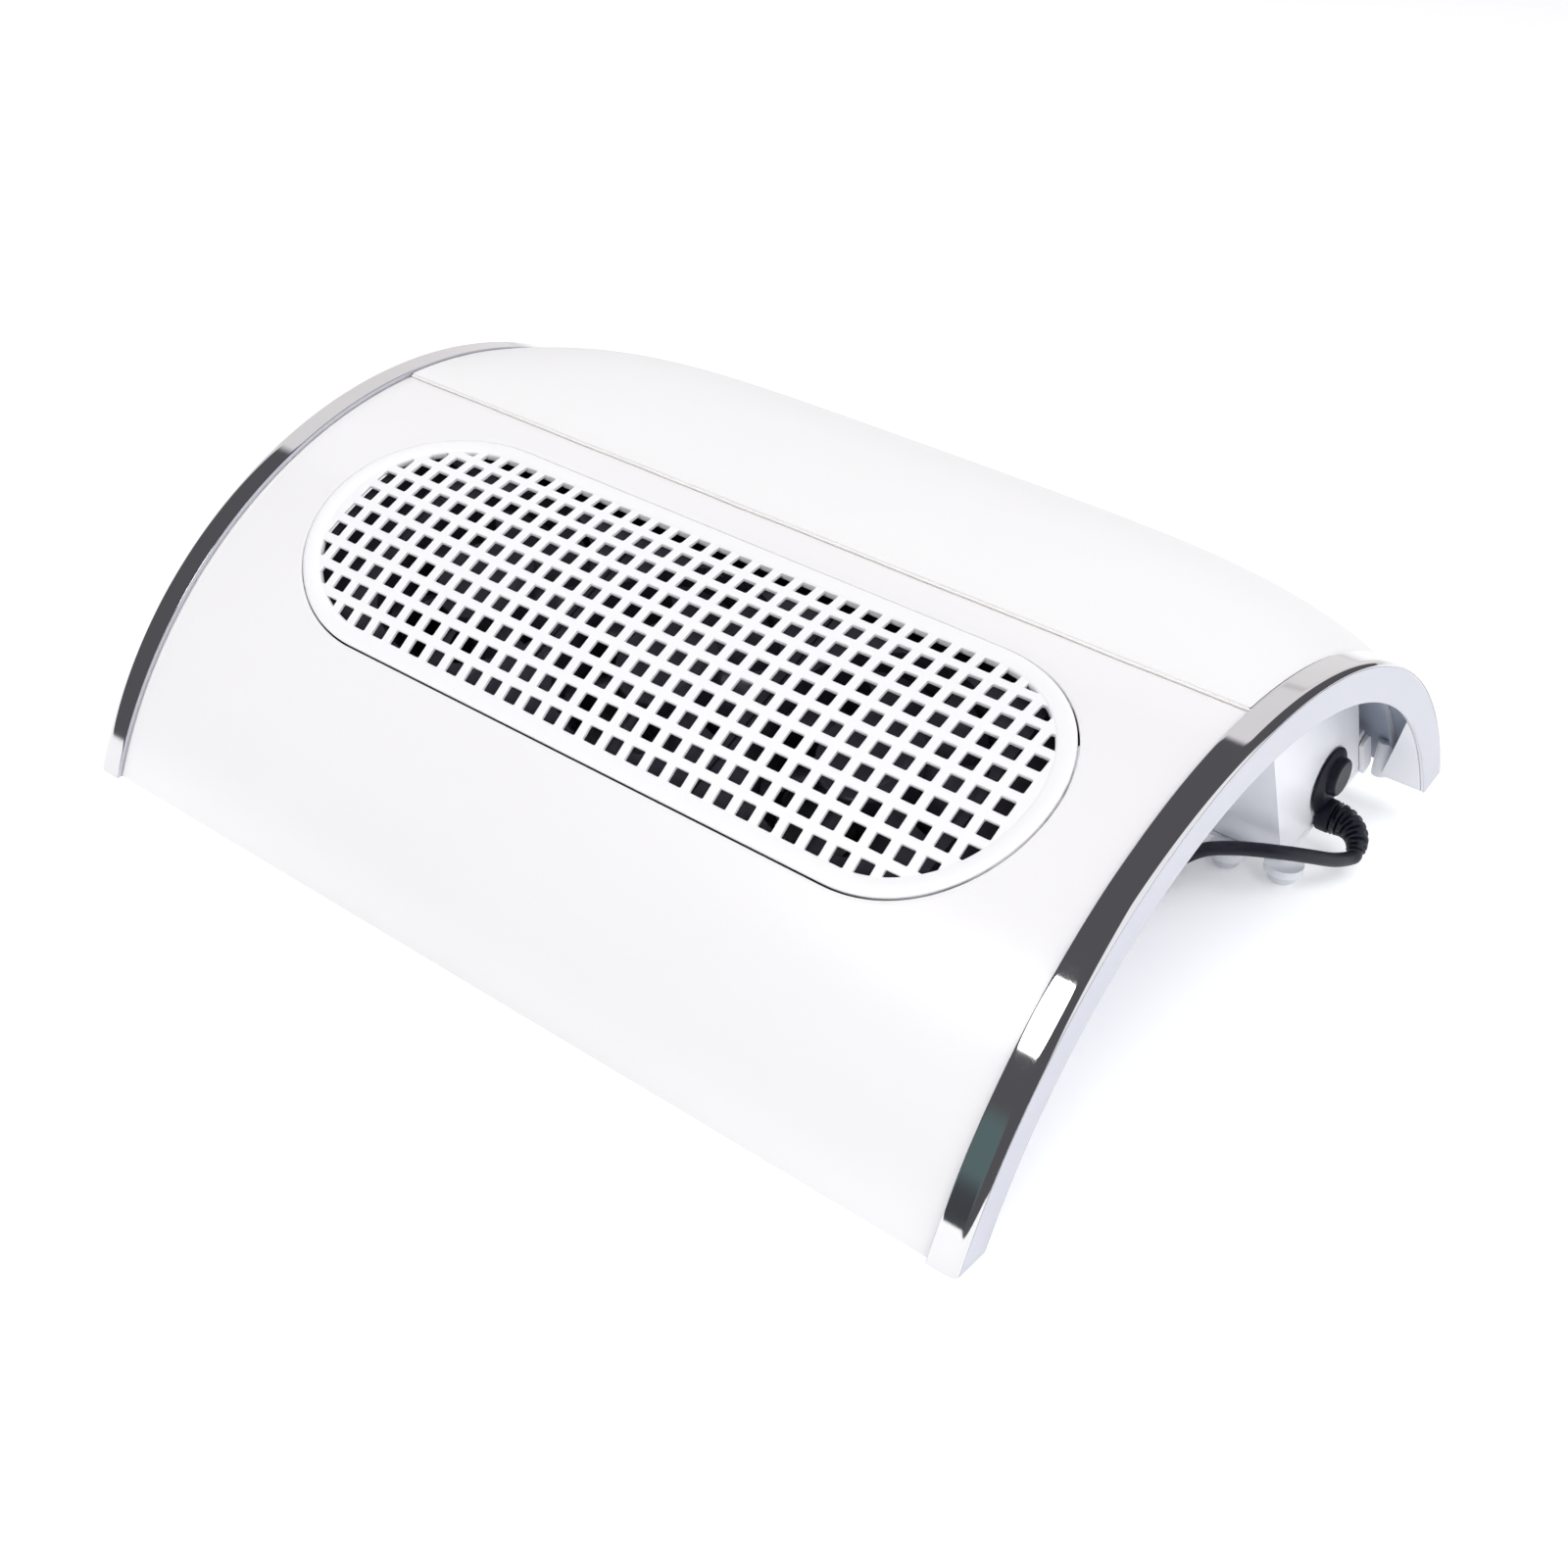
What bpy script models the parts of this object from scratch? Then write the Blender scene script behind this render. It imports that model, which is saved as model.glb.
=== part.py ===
"""Nail dust collector: an arched table unit with three fans under a square-holed grille.

Units are metres and +Z is up. The arch's front edge faces -Y, and the origin is under the middle
of the unit, on the surface that it stands on. Run it with blender --background --python part.py.
"""

import math

import bmesh
import bpy
from mathutils import Matrix, Vector

# Overall form
OVERALL_WIDTH = 0.275
ARCH_RADIUS = 0.1247
FRONT_ANGLE = math.radians(-71.05)
REAR_ANGLE = math.radians(63.5)
ARCH_STEPS = 36
FIT_GAP = 0.0003
CUT_OVERRUN = 0.004

# Side trims: a cap strip on top and a band down the outside
TRIM_CAP_WIDTH = 0.0075
TRIM_WALL = 0.0012
TRIM_BAND_HEIGHT = 0.0103
TRIM_CORNER = 0.0008

# White top shell
SHELL_WALL = 0.0025
SHELL_BOSS_RADIUS = 0.003
SHELL_BOSS_INSET = 0.0117
SHELL_BOSS_U = 0.031

# Grille: a stadium plate bent with the arch
GRILLE_ANGLE = math.radians(-26.8)
GRILLE_END_INSET = 0.0275
GRILLE_HALF_HEIGHT = 0.036
GRILLE_WALL = 0.0022
GRILLE_FIELD_WALL = 0.0010
GRILLE_RIM_WIDTH = 0.0048
GRILLE_RIM_RISE = 0.0006
HOLE_PITCH = 0.00647
HOLE_SIDE = 0.0040
HOLE_COLUMNS = 32
HOLE_ROWS = 10
END_STEPS = 10

# Hand rest cushion
PAD_FRONT_ANGLE = math.radians(-4.6)
PAD_REAR_ANGLE = math.radians(60.5)
PAD_EDGE = 0.0020
PAD_CROWN = 0.0102
PAD_SIDE_POWER = 5.0
PAD_FRONT_POWER = 2.6
PAD_DRAW_IN = 0.0015
PAD_COLUMNS = 22
PAD_ROWS = 14

# Fan housing, in the grille's tilted frame: u runs up the slope, depth runs in under the grille
HOUSING_WALL = 0.0022
COLLAR_INSET = 0.006
COLLAR_DEPTH = 0.016
FAN_BOX_CLEARANCE = 0.0029
OUTLET_BOX_INSET = 0.018
FAN_FRONT_SPACE = 0.010
DECK_SHELL_SPACE = 0.0096
OUTLET_REAR_INSET = 0.0077
HOUSING_REACH = 0.150
HOUSING_END_ANGLE = math.radians(58.0)
COVER_BEND_SPACE = 0.0022
COVER_RISE = math.radians(13.0)
OUTLET_INSET = 0.025
OUTLET_TOP_BAR = 0.0035
OUTLET_BOTTOM_BAR = 0.006

# Bottom cover and feet
FOOT_HEIGHT = 0.003
FOOT_TOP_RADIUS = 0.0045
FOOT_BASE_RADIUS = 0.0034
COVER_WALL = 0.0022
EAR_RADIUS = 0.0052
CORNER_FOOT_OUTSET = 0.001
CORNER_FOOT_SPACE = 0.0027
INNER_FOOT_INSET = 0.0135
INNER_FOOT_SPACE = 0.0062

# Fans
FAN_COUNT = 3
FAN_ROW_INSET = 0.0134
FAN_SPACE = 0.0006
FAN_THICKNESS = 0.0250
FAN_TOP_DEPTH = 0.0095
FAN_CORNER = 0.003
FAN_BORE_INSET = 0.0016
FAN_HUB_RADIUS = 0.0130
FAN_HUB_HEIGHT = 0.0170
FAN_HUB_SET_DOWN = 0.0010
FAN_CUP_WALL = 0.0015
FAN_BLADES = 7
FAN_BLADE_CLEARANCE = 0.0020
FAN_BLADE_CHORD = 0.0150
FAN_BLADE_WALL = 0.0012
FAN_BLADE_PITCH = math.radians(38.0)
FAN_STRUT_WIDTH = 0.0036
FAN_STRUT_WALL = 0.0025
FAN_BASE_RADIUS = 0.0130
FAN_SHAFT_RADIUS = 0.0010
FAN_BEARING_RADIUS = 0.0026
FAN_BEARING_LENGTH = 0.0130
FAN_STATOR_RADIUS = 0.0095
FAN_STATOR_HEIGHT = 0.0080
FAN_STATOR_LIFT = 0.0012
DECK_WALL = 0.0022
DECK_REAR_GAP = 0.0005
FAN_HOLE_INSET = 0.0045

# Screws
SCREW_SHANK_RADIUS = 0.0012
SCREW_HEAD_RADIUS = 0.0025
SCREW_HEAD_HEIGHT = 0.0014
SCREW_BITE = 0.005
SCREW_SIDES = 8
COVER_BOSS_RADIUS = 0.004
COVER_BOSS_HEIGHT = 0.007
REAR_SCREW_INSET = 0.006
REAR_SCREW_SPACE = 0.0173
FRONT_SCREW_INSET = 0.0055
FRONT_SCREW_SPACE = 0.0071

# Bag frame: the ring at the outlet that a dust bag hangs from
BAG_FRAME_WALL = 0.0032
BAG_FRAME_INSET = 0.0095
BAG_FRAME_CLEARANCE = 0.0029
BAG_FRAME_HEIGHT = 0.0245
BAG_EAR_INSET = 0.0002
BAG_EAR_SET_DOWN = 0.0115
BAG_HOOK_WALL = 0.0020
BAG_HOOK_LIP = 0.0018
BAG_HOOK_RISE = 0.0044

# Rocker switch, on the hidden left wall
SWITCH_SPACE = 0.0158
SWITCH_Z = 0.0240
SWITCH_LENGTH = 0.0210
SWITCH_WIDTH = 0.0150
SWITCH_FLANGE = 0.0018
SWITCH_BODY_LENGTH = 0.0190
SWITCH_BODY_WIDTH = 0.0130
SWITCH_BODY_DEPTH = 0.0130
SWITCH_WELL_DEPTH = 0.0080
SWITCH_TERMINAL = 0.0008
SWITCH_TERMINAL_REACH = 0.0050
ROCKER_LENGTH = 0.0150
ROCKER_WIDTH = 0.0098
ROCKER_CLEARANCE = 0.0009
ROCKER_DEPTH = 0.0050
ROCKER_DIP = 0.0010
ROCKER_PIVOT_DEPTH = 0.0020
ROCKER_TAPER = 0.0012
ROCKER_TILT = math.radians(8.0)

# Cord entry on the right wall
FLANGE_SPACE = 0.0171
FLANGE_Z = 0.0211
FLANGE_RADIUS = 0.0092
FLANGE_WALL = 0.0026
STUB_RADIUS = 0.0060
STUB_LENGTH = 0.0040
NECK_RADIUS = 0.0045
NECK_LENGTH = 0.0070
BOOT_ROOT_RADIUS = 0.0046
BOOT_ROOT_DROP = 0.0101
BOOT_TIP_RADIUS = 0.0025
BOOT_GROOVE_DEPTH = 0.0006
BOOT_RIBS = 9
BOOT_BEND_RADIUS = 0.0080
BOOT_BEND = math.radians(72.0)
BOOT_LEAN = math.radians(60.0)
BOOT_STRAIGHT = 0.0012

# Cord
CORD_RADIUS = 0.0019
CORD_SPACING = 0.0095
FINE_SPACING_SHARE = 0.4
CORD_VISIBLE_REACH = 0.078
CORD_LANE = 0.0035
COIL_SIDE_DISTANCE = 0.0365
COIL_CENTRE_Y = 0.0600
COIL_INNER_RADIUS = 0.0160
COIL_PITCH = 0.0044
COIL_TURNS = 6.25
COIL_CLIMB_TURNS = 0.5
COIL_LOOP_POINTS = 24
COIL_LEAD_IN = 0.004
COIL_TAIL_STEP = 0.004
COIL_TAIL_LEVEL_STEPS = 3
COIL_START_TURN_SHARE = 0.25
TIE_WIDTH = 0.005
TIE_WALL = 0.0008
TIE_CORNER = 0.0006
PLUG_BODY_RADIUS = 0.0052
PLUG_BODY_LENGTH = 0.0240
PLUG_NECK_RADIUS = 0.0028
PLUG_NECK_LENGTH = 0.0090
PLUG_BARREL_RADIUS = 0.00275
PLUG_BARREL_LENGTH = 0.0095
PLUG_BORE_RADIUS = 0.00105

# Inner wiring
LEAD_RADIUS = 0.0011
LEAD_SPACING = 0.005
LEAD_SIDE_GAP = 0.0030

# The arch's axis runs along X, below the surface that the unit stands on
AXIS_Y = ARCH_RADIUS * (math.sin(-FRONT_ANGLE) - math.sin(REAR_ANGLE)) / 2
AXIS_Z = -ARCH_RADIUS * math.cos(FRONT_ANGLE)
HALF_WIDTH = OVERALL_WIDTH / 2
SHELL_RADIUS = ARCH_RADIUS - TRIM_WALL - FIT_GAP
SHELL_INNER_RADIUS = SHELL_RADIUS - SHELL_WALL
GRILLE_HALF_LENGTH = HALF_WIDTH - GRILLE_END_INSET
SHELL_BOSS_X = GRILLE_HALF_LENGTH - SHELL_BOSS_INSET
COLLAR_HALF_WIDTH = GRILLE_HALF_LENGTH - COLLAR_INSET
FAN_SIDE = (2 * (COLLAR_HALF_WIDTH - FAN_ROW_INSET) - (FAN_COUNT - 1) * FAN_SPACE) / FAN_COUNT
FAN_PITCH = FAN_SIDE + FAN_SPACE
FAN_BORE_RADIUS = FAN_SIDE / 2 - FAN_BORE_INSET
FAN_BLADE_REACH = FAN_BORE_RADIUS - FAN_BLADE_CLEARANCE
FAN_HOLE_OFFSET = FAN_SIDE / 2 - FAN_HOLE_INSET
FAN_BOX_HALF_WIDTH = FAN_PITCH + FAN_SIDE / 2 + FAN_BOX_CLEARANCE
HOUSING_FRONT_U = -FAN_SIDE / 2 - FAN_FRONT_SPACE
HOUSING_FRONT_Y = AXIS_Y + (HOUSING_FRONT_U - AXIS_Z * math.sin(GRILLE_ANGLE)) / math.cos(GRILLE_ANGLE)
HOUSING_REAR_U = SHELL_INNER_RADIUS - OUTLET_REAR_INSET
HOUSING_REAR_Y = AXIS_Y + (HOUSING_REAR_U - AXIS_Z * math.sin(GRILLE_ANGLE)) / math.cos(GRILLE_ANGLE)
DECK_REAR_REACH = SHELL_RADIUS - FAN_TOP_DEPTH - FAN_THICKNESS - FIT_GAP + DECK_SHELL_SPACE
DECK_REAR_U = math.sqrt(SHELL_INNER_RADIUS**2 - DECK_REAR_REACH**2)
STEP_U = DECK_REAR_U + DECK_REAR_GAP
STEP_Y = AXIS_Y + (STEP_U - AXIS_Z * math.sin(GRILLE_ANGLE)) / math.cos(GRILLE_ANGLE)
COVER_BEND_Y = STEP_Y - COVER_BEND_SPACE
CORNER_FOOT_Y = STEP_Y - CORNER_FOOT_SPACE
INNER_FOOT_Y = STEP_Y - INNER_FOOT_SPACE
REAR_SCREW_Y = HOUSING_REAR_Y - REAR_SCREW_SPACE
FRONT_SCREW_Y = HOUSING_FRONT_Y + FRONT_SCREW_SPACE
SWITCH_Y = STEP_Y + SWITCH_SPACE
FLANGE_Y = STEP_Y + FLANGE_SPACE
OUTLET_BOX_HALF_WIDTH = HALF_WIDTH - OUTLET_BOX_INSET
REAR_SCREW_X = OUTLET_BOX_HALF_WIDTH - REAR_SCREW_INSET
FRONT_SCREW_X = FAN_BOX_HALF_WIDTH - FRONT_SCREW_INSET
CORNER_FOOT_X = OUTLET_BOX_HALF_WIDTH + CORNER_FOOT_OUTSET
INNER_FOOT_X = OUTLET_BOX_HALF_WIDTH - INNER_FOOT_INSET
BAG_REAR_U = HOUSING_REAR_U + FIT_GAP + BAG_FRAME_WALL
SHELL_DROP_AT_BAG = SHELL_RADIUS - math.sqrt(SHELL_INNER_RADIUS**2 - BAG_REAR_U**2)
BAG_FRAME_HALF_WIDTH = OUTLET_BOX_HALF_WIDTH - BAG_FRAME_INSET
BAG_FRAME_TOP_DEPTH = SHELL_DROP_AT_BAG + BAG_FRAME_CLEARANCE
BAG_FRAME_BOTTOM_DEPTH = BAG_FRAME_TOP_DEPTH + BAG_FRAME_HEIGHT
BAG_EAR_HALF_WIDTH = OUTLET_BOX_HALF_WIDTH - BAG_EAR_INSET
BAG_EAR_TOP_DEPTH = BAG_FRAME_TOP_DEPTH + BAG_EAR_SET_DOWN
BAG_HOOK_TOP_DEPTH = BAG_EAR_TOP_DEPTH - BAG_HOOK_RISE
OUTLET_HALF_WIDTH = BAG_FRAME_HALF_WIDTH - OUTLET_INSET
OUTLET_TOP_DEPTH = BAG_FRAME_TOP_DEPTH + OUTLET_TOP_BAR
OUTLET_BOTTOM_DEPTH = BAG_FRAME_BOTTOM_DEPTH - OUTLET_BOTTOM_BAR
COIL_CENTRE_X = -HALF_WIDTH - COIL_SIDE_DISTANCE
COVER_TOP_Z = FOOT_HEIGHT + COVER_WALL
FAN_BOTTOM_DEPTH = FAN_TOP_DEPTH + FAN_THICKNESS
DECK_TOP_DEPTH = FAN_BOTTOM_DEPTH + FIT_GAP
WALL_X = OUTLET_BOX_HALF_WIDTH
CORD_FLOOR = CORD_RADIUS + FIT_GAP / 3
COIL_FLOOR = CORD_RADIUS + TIE_WALL + 2 * FIT_GAP
ARCH_AXIS = Vector((0, AXIS_Y, AXIS_Z))
TILT = (
    Matrix.Translation(ARCH_AXIS)
    @ Matrix.Rotation(-GRILLE_ANGLE, 4, "X")
    @ Matrix.Translation((0, 0, SHELL_RADIUS))
)
WORLD = Matrix.Identity(4)

# Colours as linear values, roughness and metallic
FINISHES = {
    "gloss_white": ((0.86, 0.86, 0.87), 0.12, 0.0),
    "satin_white": ((0.80, 0.81, 0.83), 0.38, 0.0),
    "chrome": ((0.62, 0.62, 0.64), 0.06, 1.0),
    "cream_leather": ((0.87, 0.86, 0.84), 0.45, 0.0),
    "black_plastic": ((0.020, 0.020, 0.026), 0.40, 0.0),
    "black_rubber": ((0.018, 0.018, 0.024), 0.55, 0.0),
    "steel": ((0.52, 0.52, 0.54), 0.25, 1.0),
    "copper": ((0.70, 0.32, 0.18), 0.35, 1.0),
    "brass": ((0.66, 0.50, 0.24), 0.30, 1.0),
    "red_plastic": ((0.55, 0.03, 0.03), 0.30, 0.0),
}


def clear_scene():
    """Remove whatever the file opened with."""
    for obj in list(bpy.data.objects):
        bpy.data.objects.remove(obj, do_unlink=True)


def new_collection(name):
    """Make a collection in the scene."""
    collection = bpy.data.collections.new(name)
    bpy.context.scene.collection.children.link(collection)
    return collection


def make_materials():
    """One Principled material for each finish."""
    made = {}
    for name, (colour, roughness, metallic) in FINISHES.items():
        material = bpy.data.materials.new(name)
        material.use_nodes = True
        shader = material.node_tree.nodes["Principled BSDF"]
        shader.inputs["Base Color"].default_value = (*colour, 1.0)
        shader.inputs["Roughness"].default_value = roughness
        shader.inputs["Metallic"].default_value = metallic
        material.diffuse_color = (*colour, 1.0)
        made[name] = material
    return made


def link(mesh, name, finish, matrix=WORLD):
    """Put new mesh data in the scene as one named part."""
    obj = bpy.data.objects.new(name, mesh)
    obj.matrix_world = matrix
    PARTS.objects.link(obj)
    if finish:
        obj.data.materials.append(MATERIALS[finish])
    return obj


def finish_mesh(bm, name, smooth=False):
    """Turn the faces outwards and close the bmesh into mesh data."""
    bmesh.ops.recalc_face_normals(bm, faces=bm.faces)
    mesh = bpy.data.meshes.new(name)
    bm.to_mesh(mesh)
    bm.free()
    if smooth:
        mesh.shade_smooth()
        mesh.set_sharp_from_angle(angle=math.radians(35.0))
    return mesh


def combine(obj, helper, operation):
    """Add a Boolean modifier that cuts, joins or keeps what two shapes share."""
    for collection in list(helper.users_collection):
        collection.objects.unlink(helper)
    CUTTERS.objects.link(helper)
    helper.hide_render = True
    helper.display_type = "WIRE"
    modifier = obj.modifiers.new(helper.name, "BOOLEAN")
    modifier.operation = operation
    modifier.object = helper
    modifier.solver = "EXACT"
    return obj


def cut(obj, *helpers):
    """Cut each helper out of the object."""
    for helper in helpers:
        combine(obj, helper, "DIFFERENCE")
    return obj


def join(obj, *helpers):
    """Join each helper to the object."""
    for helper in helpers:
        combine(obj, helper, "UNION")
    return obj


def baked_mesh(obj):
    """The object's evaluated mesh, with its own transform left out."""
    bpy.context.view_layer.update()
    depsgraph = bpy.context.evaluated_depsgraph_get()
    return bpy.data.meshes.new_from_object(obj.evaluated_get(depsgraph))


def box(name, low, high, finish=None, matrix=WORLD, edge=0.0):
    """A box between two corners of the frame that the matrix gives, with optional rounded edges."""
    low, high = Vector(low), Vector(high)
    bm = bmesh.new()
    bmesh.ops.create_cube(bm, size=1.0)
    bmesh.ops.scale(bm, vec=high - low, verts=bm.verts)
    bmesh.ops.translate(bm, vec=(high + low) / 2, verts=bm.verts)
    obj = link(finish_mesh(bm, name), name, finish, matrix)
    if edge:
        bevel = obj.modifiers.new("rounded edges", "BEVEL")
        bevel.width = edge
        bevel.segments = 2
    return obj


def cylinder(name, radius, start, end, finish=None, matrix=WORLD, sides=24, end_radius=None):
    """A cylinder or cone between two points of the frame that the matrix gives."""
    start, end = Vector(start), Vector(end)
    along = end - start
    bm = bmesh.new()
    bmesh.ops.create_cone(
        bm,
        cap_ends=True,
        segments=sides,
        radius1=radius,
        radius2=radius if end_radius is None else end_radius,
        depth=along.length,
    )
    turn = Vector((0, 0, 1)).rotation_difference(along).to_matrix().to_4x4()
    bmesh.ops.transform(bm, matrix=Matrix.Translation((start + end) / 2) @ turn, verts=bm.verts)
    return link(finish_mesh(bm, name, smooth=True), name, finish, matrix)


def weld_curve(curve, name, finish, matrix=WORLD):
    """Make a curve a mesh whose caps are welded to its walls."""
    guide = bpy.data.objects.new(name + " guide", curve)
    PARTS.objects.link(guide)
    mesh = baked_mesh(guide)
    bpy.data.objects.remove(guide, do_unlink=True)
    bm = bmesh.new()
    bm.from_mesh(mesh)
    bpy.data.meshes.remove(mesh)
    bmesh.ops.remove_doubles(bm, verts=bm.verts, dist=FIT_GAP / 100)
    return link(finish_mesh(bm, name, smooth=True), name, finish, matrix)


def plate(name, outlines, thickness, finish=None, matrix=WORLD):
    """Flat outlines in the frame's XY plane, filled and given a thickness about that plane.

    The first outline is the rim, and any others inside it are holes.
    """
    curve = bpy.data.curves.new(name, "CURVE")
    curve.dimensions = "2D"
    curve.fill_mode = "BOTH"
    curve.extrude = thickness / 2
    for outline in outlines:
        spline = curve.splines.new("POLY")
        spline.points.add(len(outline) - 1)
        for point, (x, y) in zip(spline.points, outline):
            point.co = (x, y, 0, 1)
        spline.use_cyclic_u = True
    return weld_curve(curve, name, finish, matrix)


def tube(name, points, radius, finish, radii=None, resolution=2):
    """A tube in straight steps between points, with filled ends and an optional radius at each."""
    curve = bpy.data.curves.new(name, "CURVE")
    curve.dimensions = "3D"
    curve.bevel_depth = radius
    curve.bevel_resolution = resolution
    curve.use_fill_caps = True
    spline = curve.splines.new("POLY")
    spline.points.add(len(points) - 1)
    for index, (point, place) in enumerate(zip(spline.points, points)):
        point.co = (*place, 1)
        point.radius = 1.0 if radii is None else radii[index] / radius
    return weld_curve(curve, name, finish)


def arch_bar(name, section, start, end, finish):
    """A section in (x, radius) swung about the arch's axis from one angle to another."""
    bm = bmesh.new()
    corners = [
        bm.verts.new((x, radius * math.sin(start), radius * math.cos(start)))
        for x, radius in section
    ]
    face = bm.faces.new(corners)
    bmesh.ops.spin(
        bm,
        geom=[face, *face.edges, *face.verts],
        cent=(0, 0, 0),
        axis=(1, 0, 0),
        angle=start - end,
        steps=ARCH_STEPS,
        use_duplicate=False,
    )
    return link(finish_mesh(bm, name, smooth=True), name, finish, Matrix.Translation(ARCH_AXIS))


def tilted(x, u, depth):
    """A world point given in the grille's frame: across, up the slope, and in from its surface."""
    return TILT @ Vector((x, u, -depth))


def arc_outline(radius, start, end):
    """Points (y, z) along an arc about the arch's axis, from one angle to another."""
    points = []
    for step in range(ARCH_STEPS + 1):
        angle = start + (end - start) * step / ARCH_STEPS
        points.append((AXIS_Y + radius * math.sin(angle), AXIS_Z + radius * math.cos(angle)))
    return points


def side_profile(name, outline, half_width, finish=None):
    """An outline in (y, z) made solid across the unit, as far as half_width on both sides."""
    across = Matrix(((0, 0, 1, 0), (1, 0, 0, 0), (0, 1, 0, 0), (0, 0, 0, 1)))
    return plate(name, [outline], 2 * half_width, finish, across)


def floor_cutter(name):
    """Everything below the surface that the unit stands on."""
    reach = 2 * ARCH_RADIUS
    return box(name, (-reach, -reach, 2 * AXIS_Z), (reach, reach, 0))


def end_angles():
    """The angles of the points on a stadium's half-round end."""
    return [math.pi * (step / END_STEPS - 1 / 2) for step in range(END_STEPS + 1)]


def stadium(half_length, half_height):
    """Points round a shape with straight long sides and half-round ends."""
    centre = half_length - half_height
    points = []
    for side in (1, -1):
        for angle in end_angles():
            reach = centre + half_height * math.cos(angle)
            points.append((side * reach, side * half_height * math.sin(angle)))
    return points


def bend_to_arch(mesh):
    """Wrap a flat mesh round the arch: y becomes distance along it and z the height above it."""
    for vertex in mesh.vertices:
        x, along, height = vertex.co
        angle = GRILLE_ANGLE + along / SHELL_RADIUS
        reach = SHELL_RADIUS + height
        vertex.co = (x, reach * math.sin(angle), reach * math.cos(angle))


def grille_opening():
    """A bent block that cuts the grille's opening through the shell."""
    half_height = GRILLE_HALF_HEIGHT + FIT_GAP
    outline = stadium(GRILLE_HALF_LENGTH + FIT_GAP, half_height)
    block = plate("grille opening flat", [outline], 2 * (SHELL_WALL + CUT_OVERRUN))
    bm = bmesh.new()
    bm.from_mesh(block.data)
    bpy.data.objects.remove(block, do_unlink=True)
    for angle in end_angles()[1:-1]:
        bmesh.ops.bisect_plane(
            bm,
            geom=[*bm.verts, *bm.edges, *bm.faces],
            plane_co=(0, half_height * math.sin(angle), 0),
            plane_no=(0, 1, 0),
            dist=FIT_GAP / 100,
        )
    bmesh.ops.triangulate(bm, faces=bm.faces)
    mesh = finish_mesh(bm, "grille opening")
    bend_to_arch(mesh)
    return link(mesh, "grille opening", None, Matrix.Translation(ARCH_AXIS))


def build_shell():
    """The white top cover, with the grille's opening and four screw bosses under it."""
    half = HALF_WIDTH - TRIM_WALL - FIT_GAP
    section = [
        (-half, SHELL_INNER_RADIUS),
        (half, SHELL_INNER_RADIUS),
        (half, SHELL_RADIUS),
        (-half, SHELL_RADIUS),
    ]
    shell = arch_bar("top_shell", section, FRONT_ANGLE, REAR_ANGLE, "gloss_white")
    cut(shell, floor_cutter("floor under shell"), grille_opening())
    sink = SHELL_INNER_RADIUS - math.sqrt(SHELL_INNER_RADIUS**2 - SHELL_BOSS_U**2)
    top = SHELL_WALL / 2 + sink
    foot = COLLAR_DEPTH - HOUSING_WALL - FIT_GAP
    for index, (x, u) in enumerate(shell_boss_places(), start=1):
        boss = cylinder(
            f"shell boss {index}",
            SHELL_BOSS_RADIUS,
            (x, u, -top),
            (x, u, -foot),
            matrix=TILT,
            sides=12,
        )
        join(shell, boss)
    for index, (x, u) in enumerate(shell_boss_places(), start=1):
        cut(shell, screw_hole(f"shell hole {index}", (x, u, -foot), (0, 0, 1), TILT))
        low = Vector((x, u, -COLLAR_DEPTH - FIT_GAP))
        screw(f"shell_screw_{index}", low, (0, 0, 1), HOUSING_WALL + 2 * FIT_GAP, TILT)


def shell_boss_places():
    """Where the shell is screwed to the housing's collar, as (x, u)."""
    return [(x * SHELL_BOSS_X, u * SHELL_BOSS_U) for x in (-1, 1) for u in (-1, 1)]


def screw(name, seat, direction, through, matrix=WORLD):
    """A pan-head screw: its head lies under the seat and its shank goes through it and bites."""
    seat, direction = Vector(seat), Vector(direction)
    body = cylinder(
        name,
        SCREW_HEAD_RADIUS,
        seat - direction * SCREW_HEAD_HEIGHT,
        seat,
        "steel",
        matrix,
        sides=SCREW_SIDES,
    )
    shank = cylinder(
        name + " shank",
        SCREW_SHANK_RADIUS,
        seat - direction * SCREW_HEAD_HEIGHT / 2,
        seat + direction * (through + SCREW_BITE),
        matrix=matrix,
        sides=SCREW_SIDES,
    )
    return join(body, shank)


def screw_hole(name, seat, direction, matrix=WORLD):
    """A hole that clears a screw's shank, from just outside the seat to past its tip."""
    seat, direction = Vector(seat), Vector(direction)
    return cylinder(
        name,
        SCREW_SHANK_RADIUS + FIT_GAP,
        seat - direction * CUT_OVERRUN,
        seat + direction * (SCREW_BITE + 2 * FIT_GAP),
        matrix=matrix,
        sides=SCREW_SIDES,
    )


def build_trims():
    """The two chrome trims, each an L section that caps one side edge of the shell."""
    outer = HALF_WIDTH
    for side, name in ((-1, "left_trim"), (1, "right_trim")):
        section = [
            (outer - TRIM_CAP_WIDTH, ARCH_RADIUS),
            (outer - TRIM_CORNER, ARCH_RADIUS),
            (outer, ARCH_RADIUS - TRIM_CORNER),
            (outer, ARCH_RADIUS - TRIM_BAND_HEIGHT),
            (outer - TRIM_WALL, ARCH_RADIUS - TRIM_BAND_HEIGHT),
            (outer - TRIM_WALL, ARCH_RADIUS - TRIM_WALL),
            (outer - TRIM_CAP_WIDTH, ARCH_RADIUS - TRIM_WALL),
        ]
        section = [(side * x, radius) for x, radius in section]
        trim = arch_bar(name, section, FRONT_ANGLE, REAR_ANGLE, "chrome")
        cut(trim, floor_cutter(f"floor under {name}"))


def hole_lines(count, margin):
    """The places of the grid lines along one direction: the outer edges and every hole's sides."""
    lines = []
    for index in range(count):
        centre = (index - (count - 1) / 2) * HOLE_PITCH
        lines += [centre - HOLE_SIDE / 2, centre + HOLE_SIDE / 2]
    edge = lines[-1] + margin
    return [-edge, *lines, edge]


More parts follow.
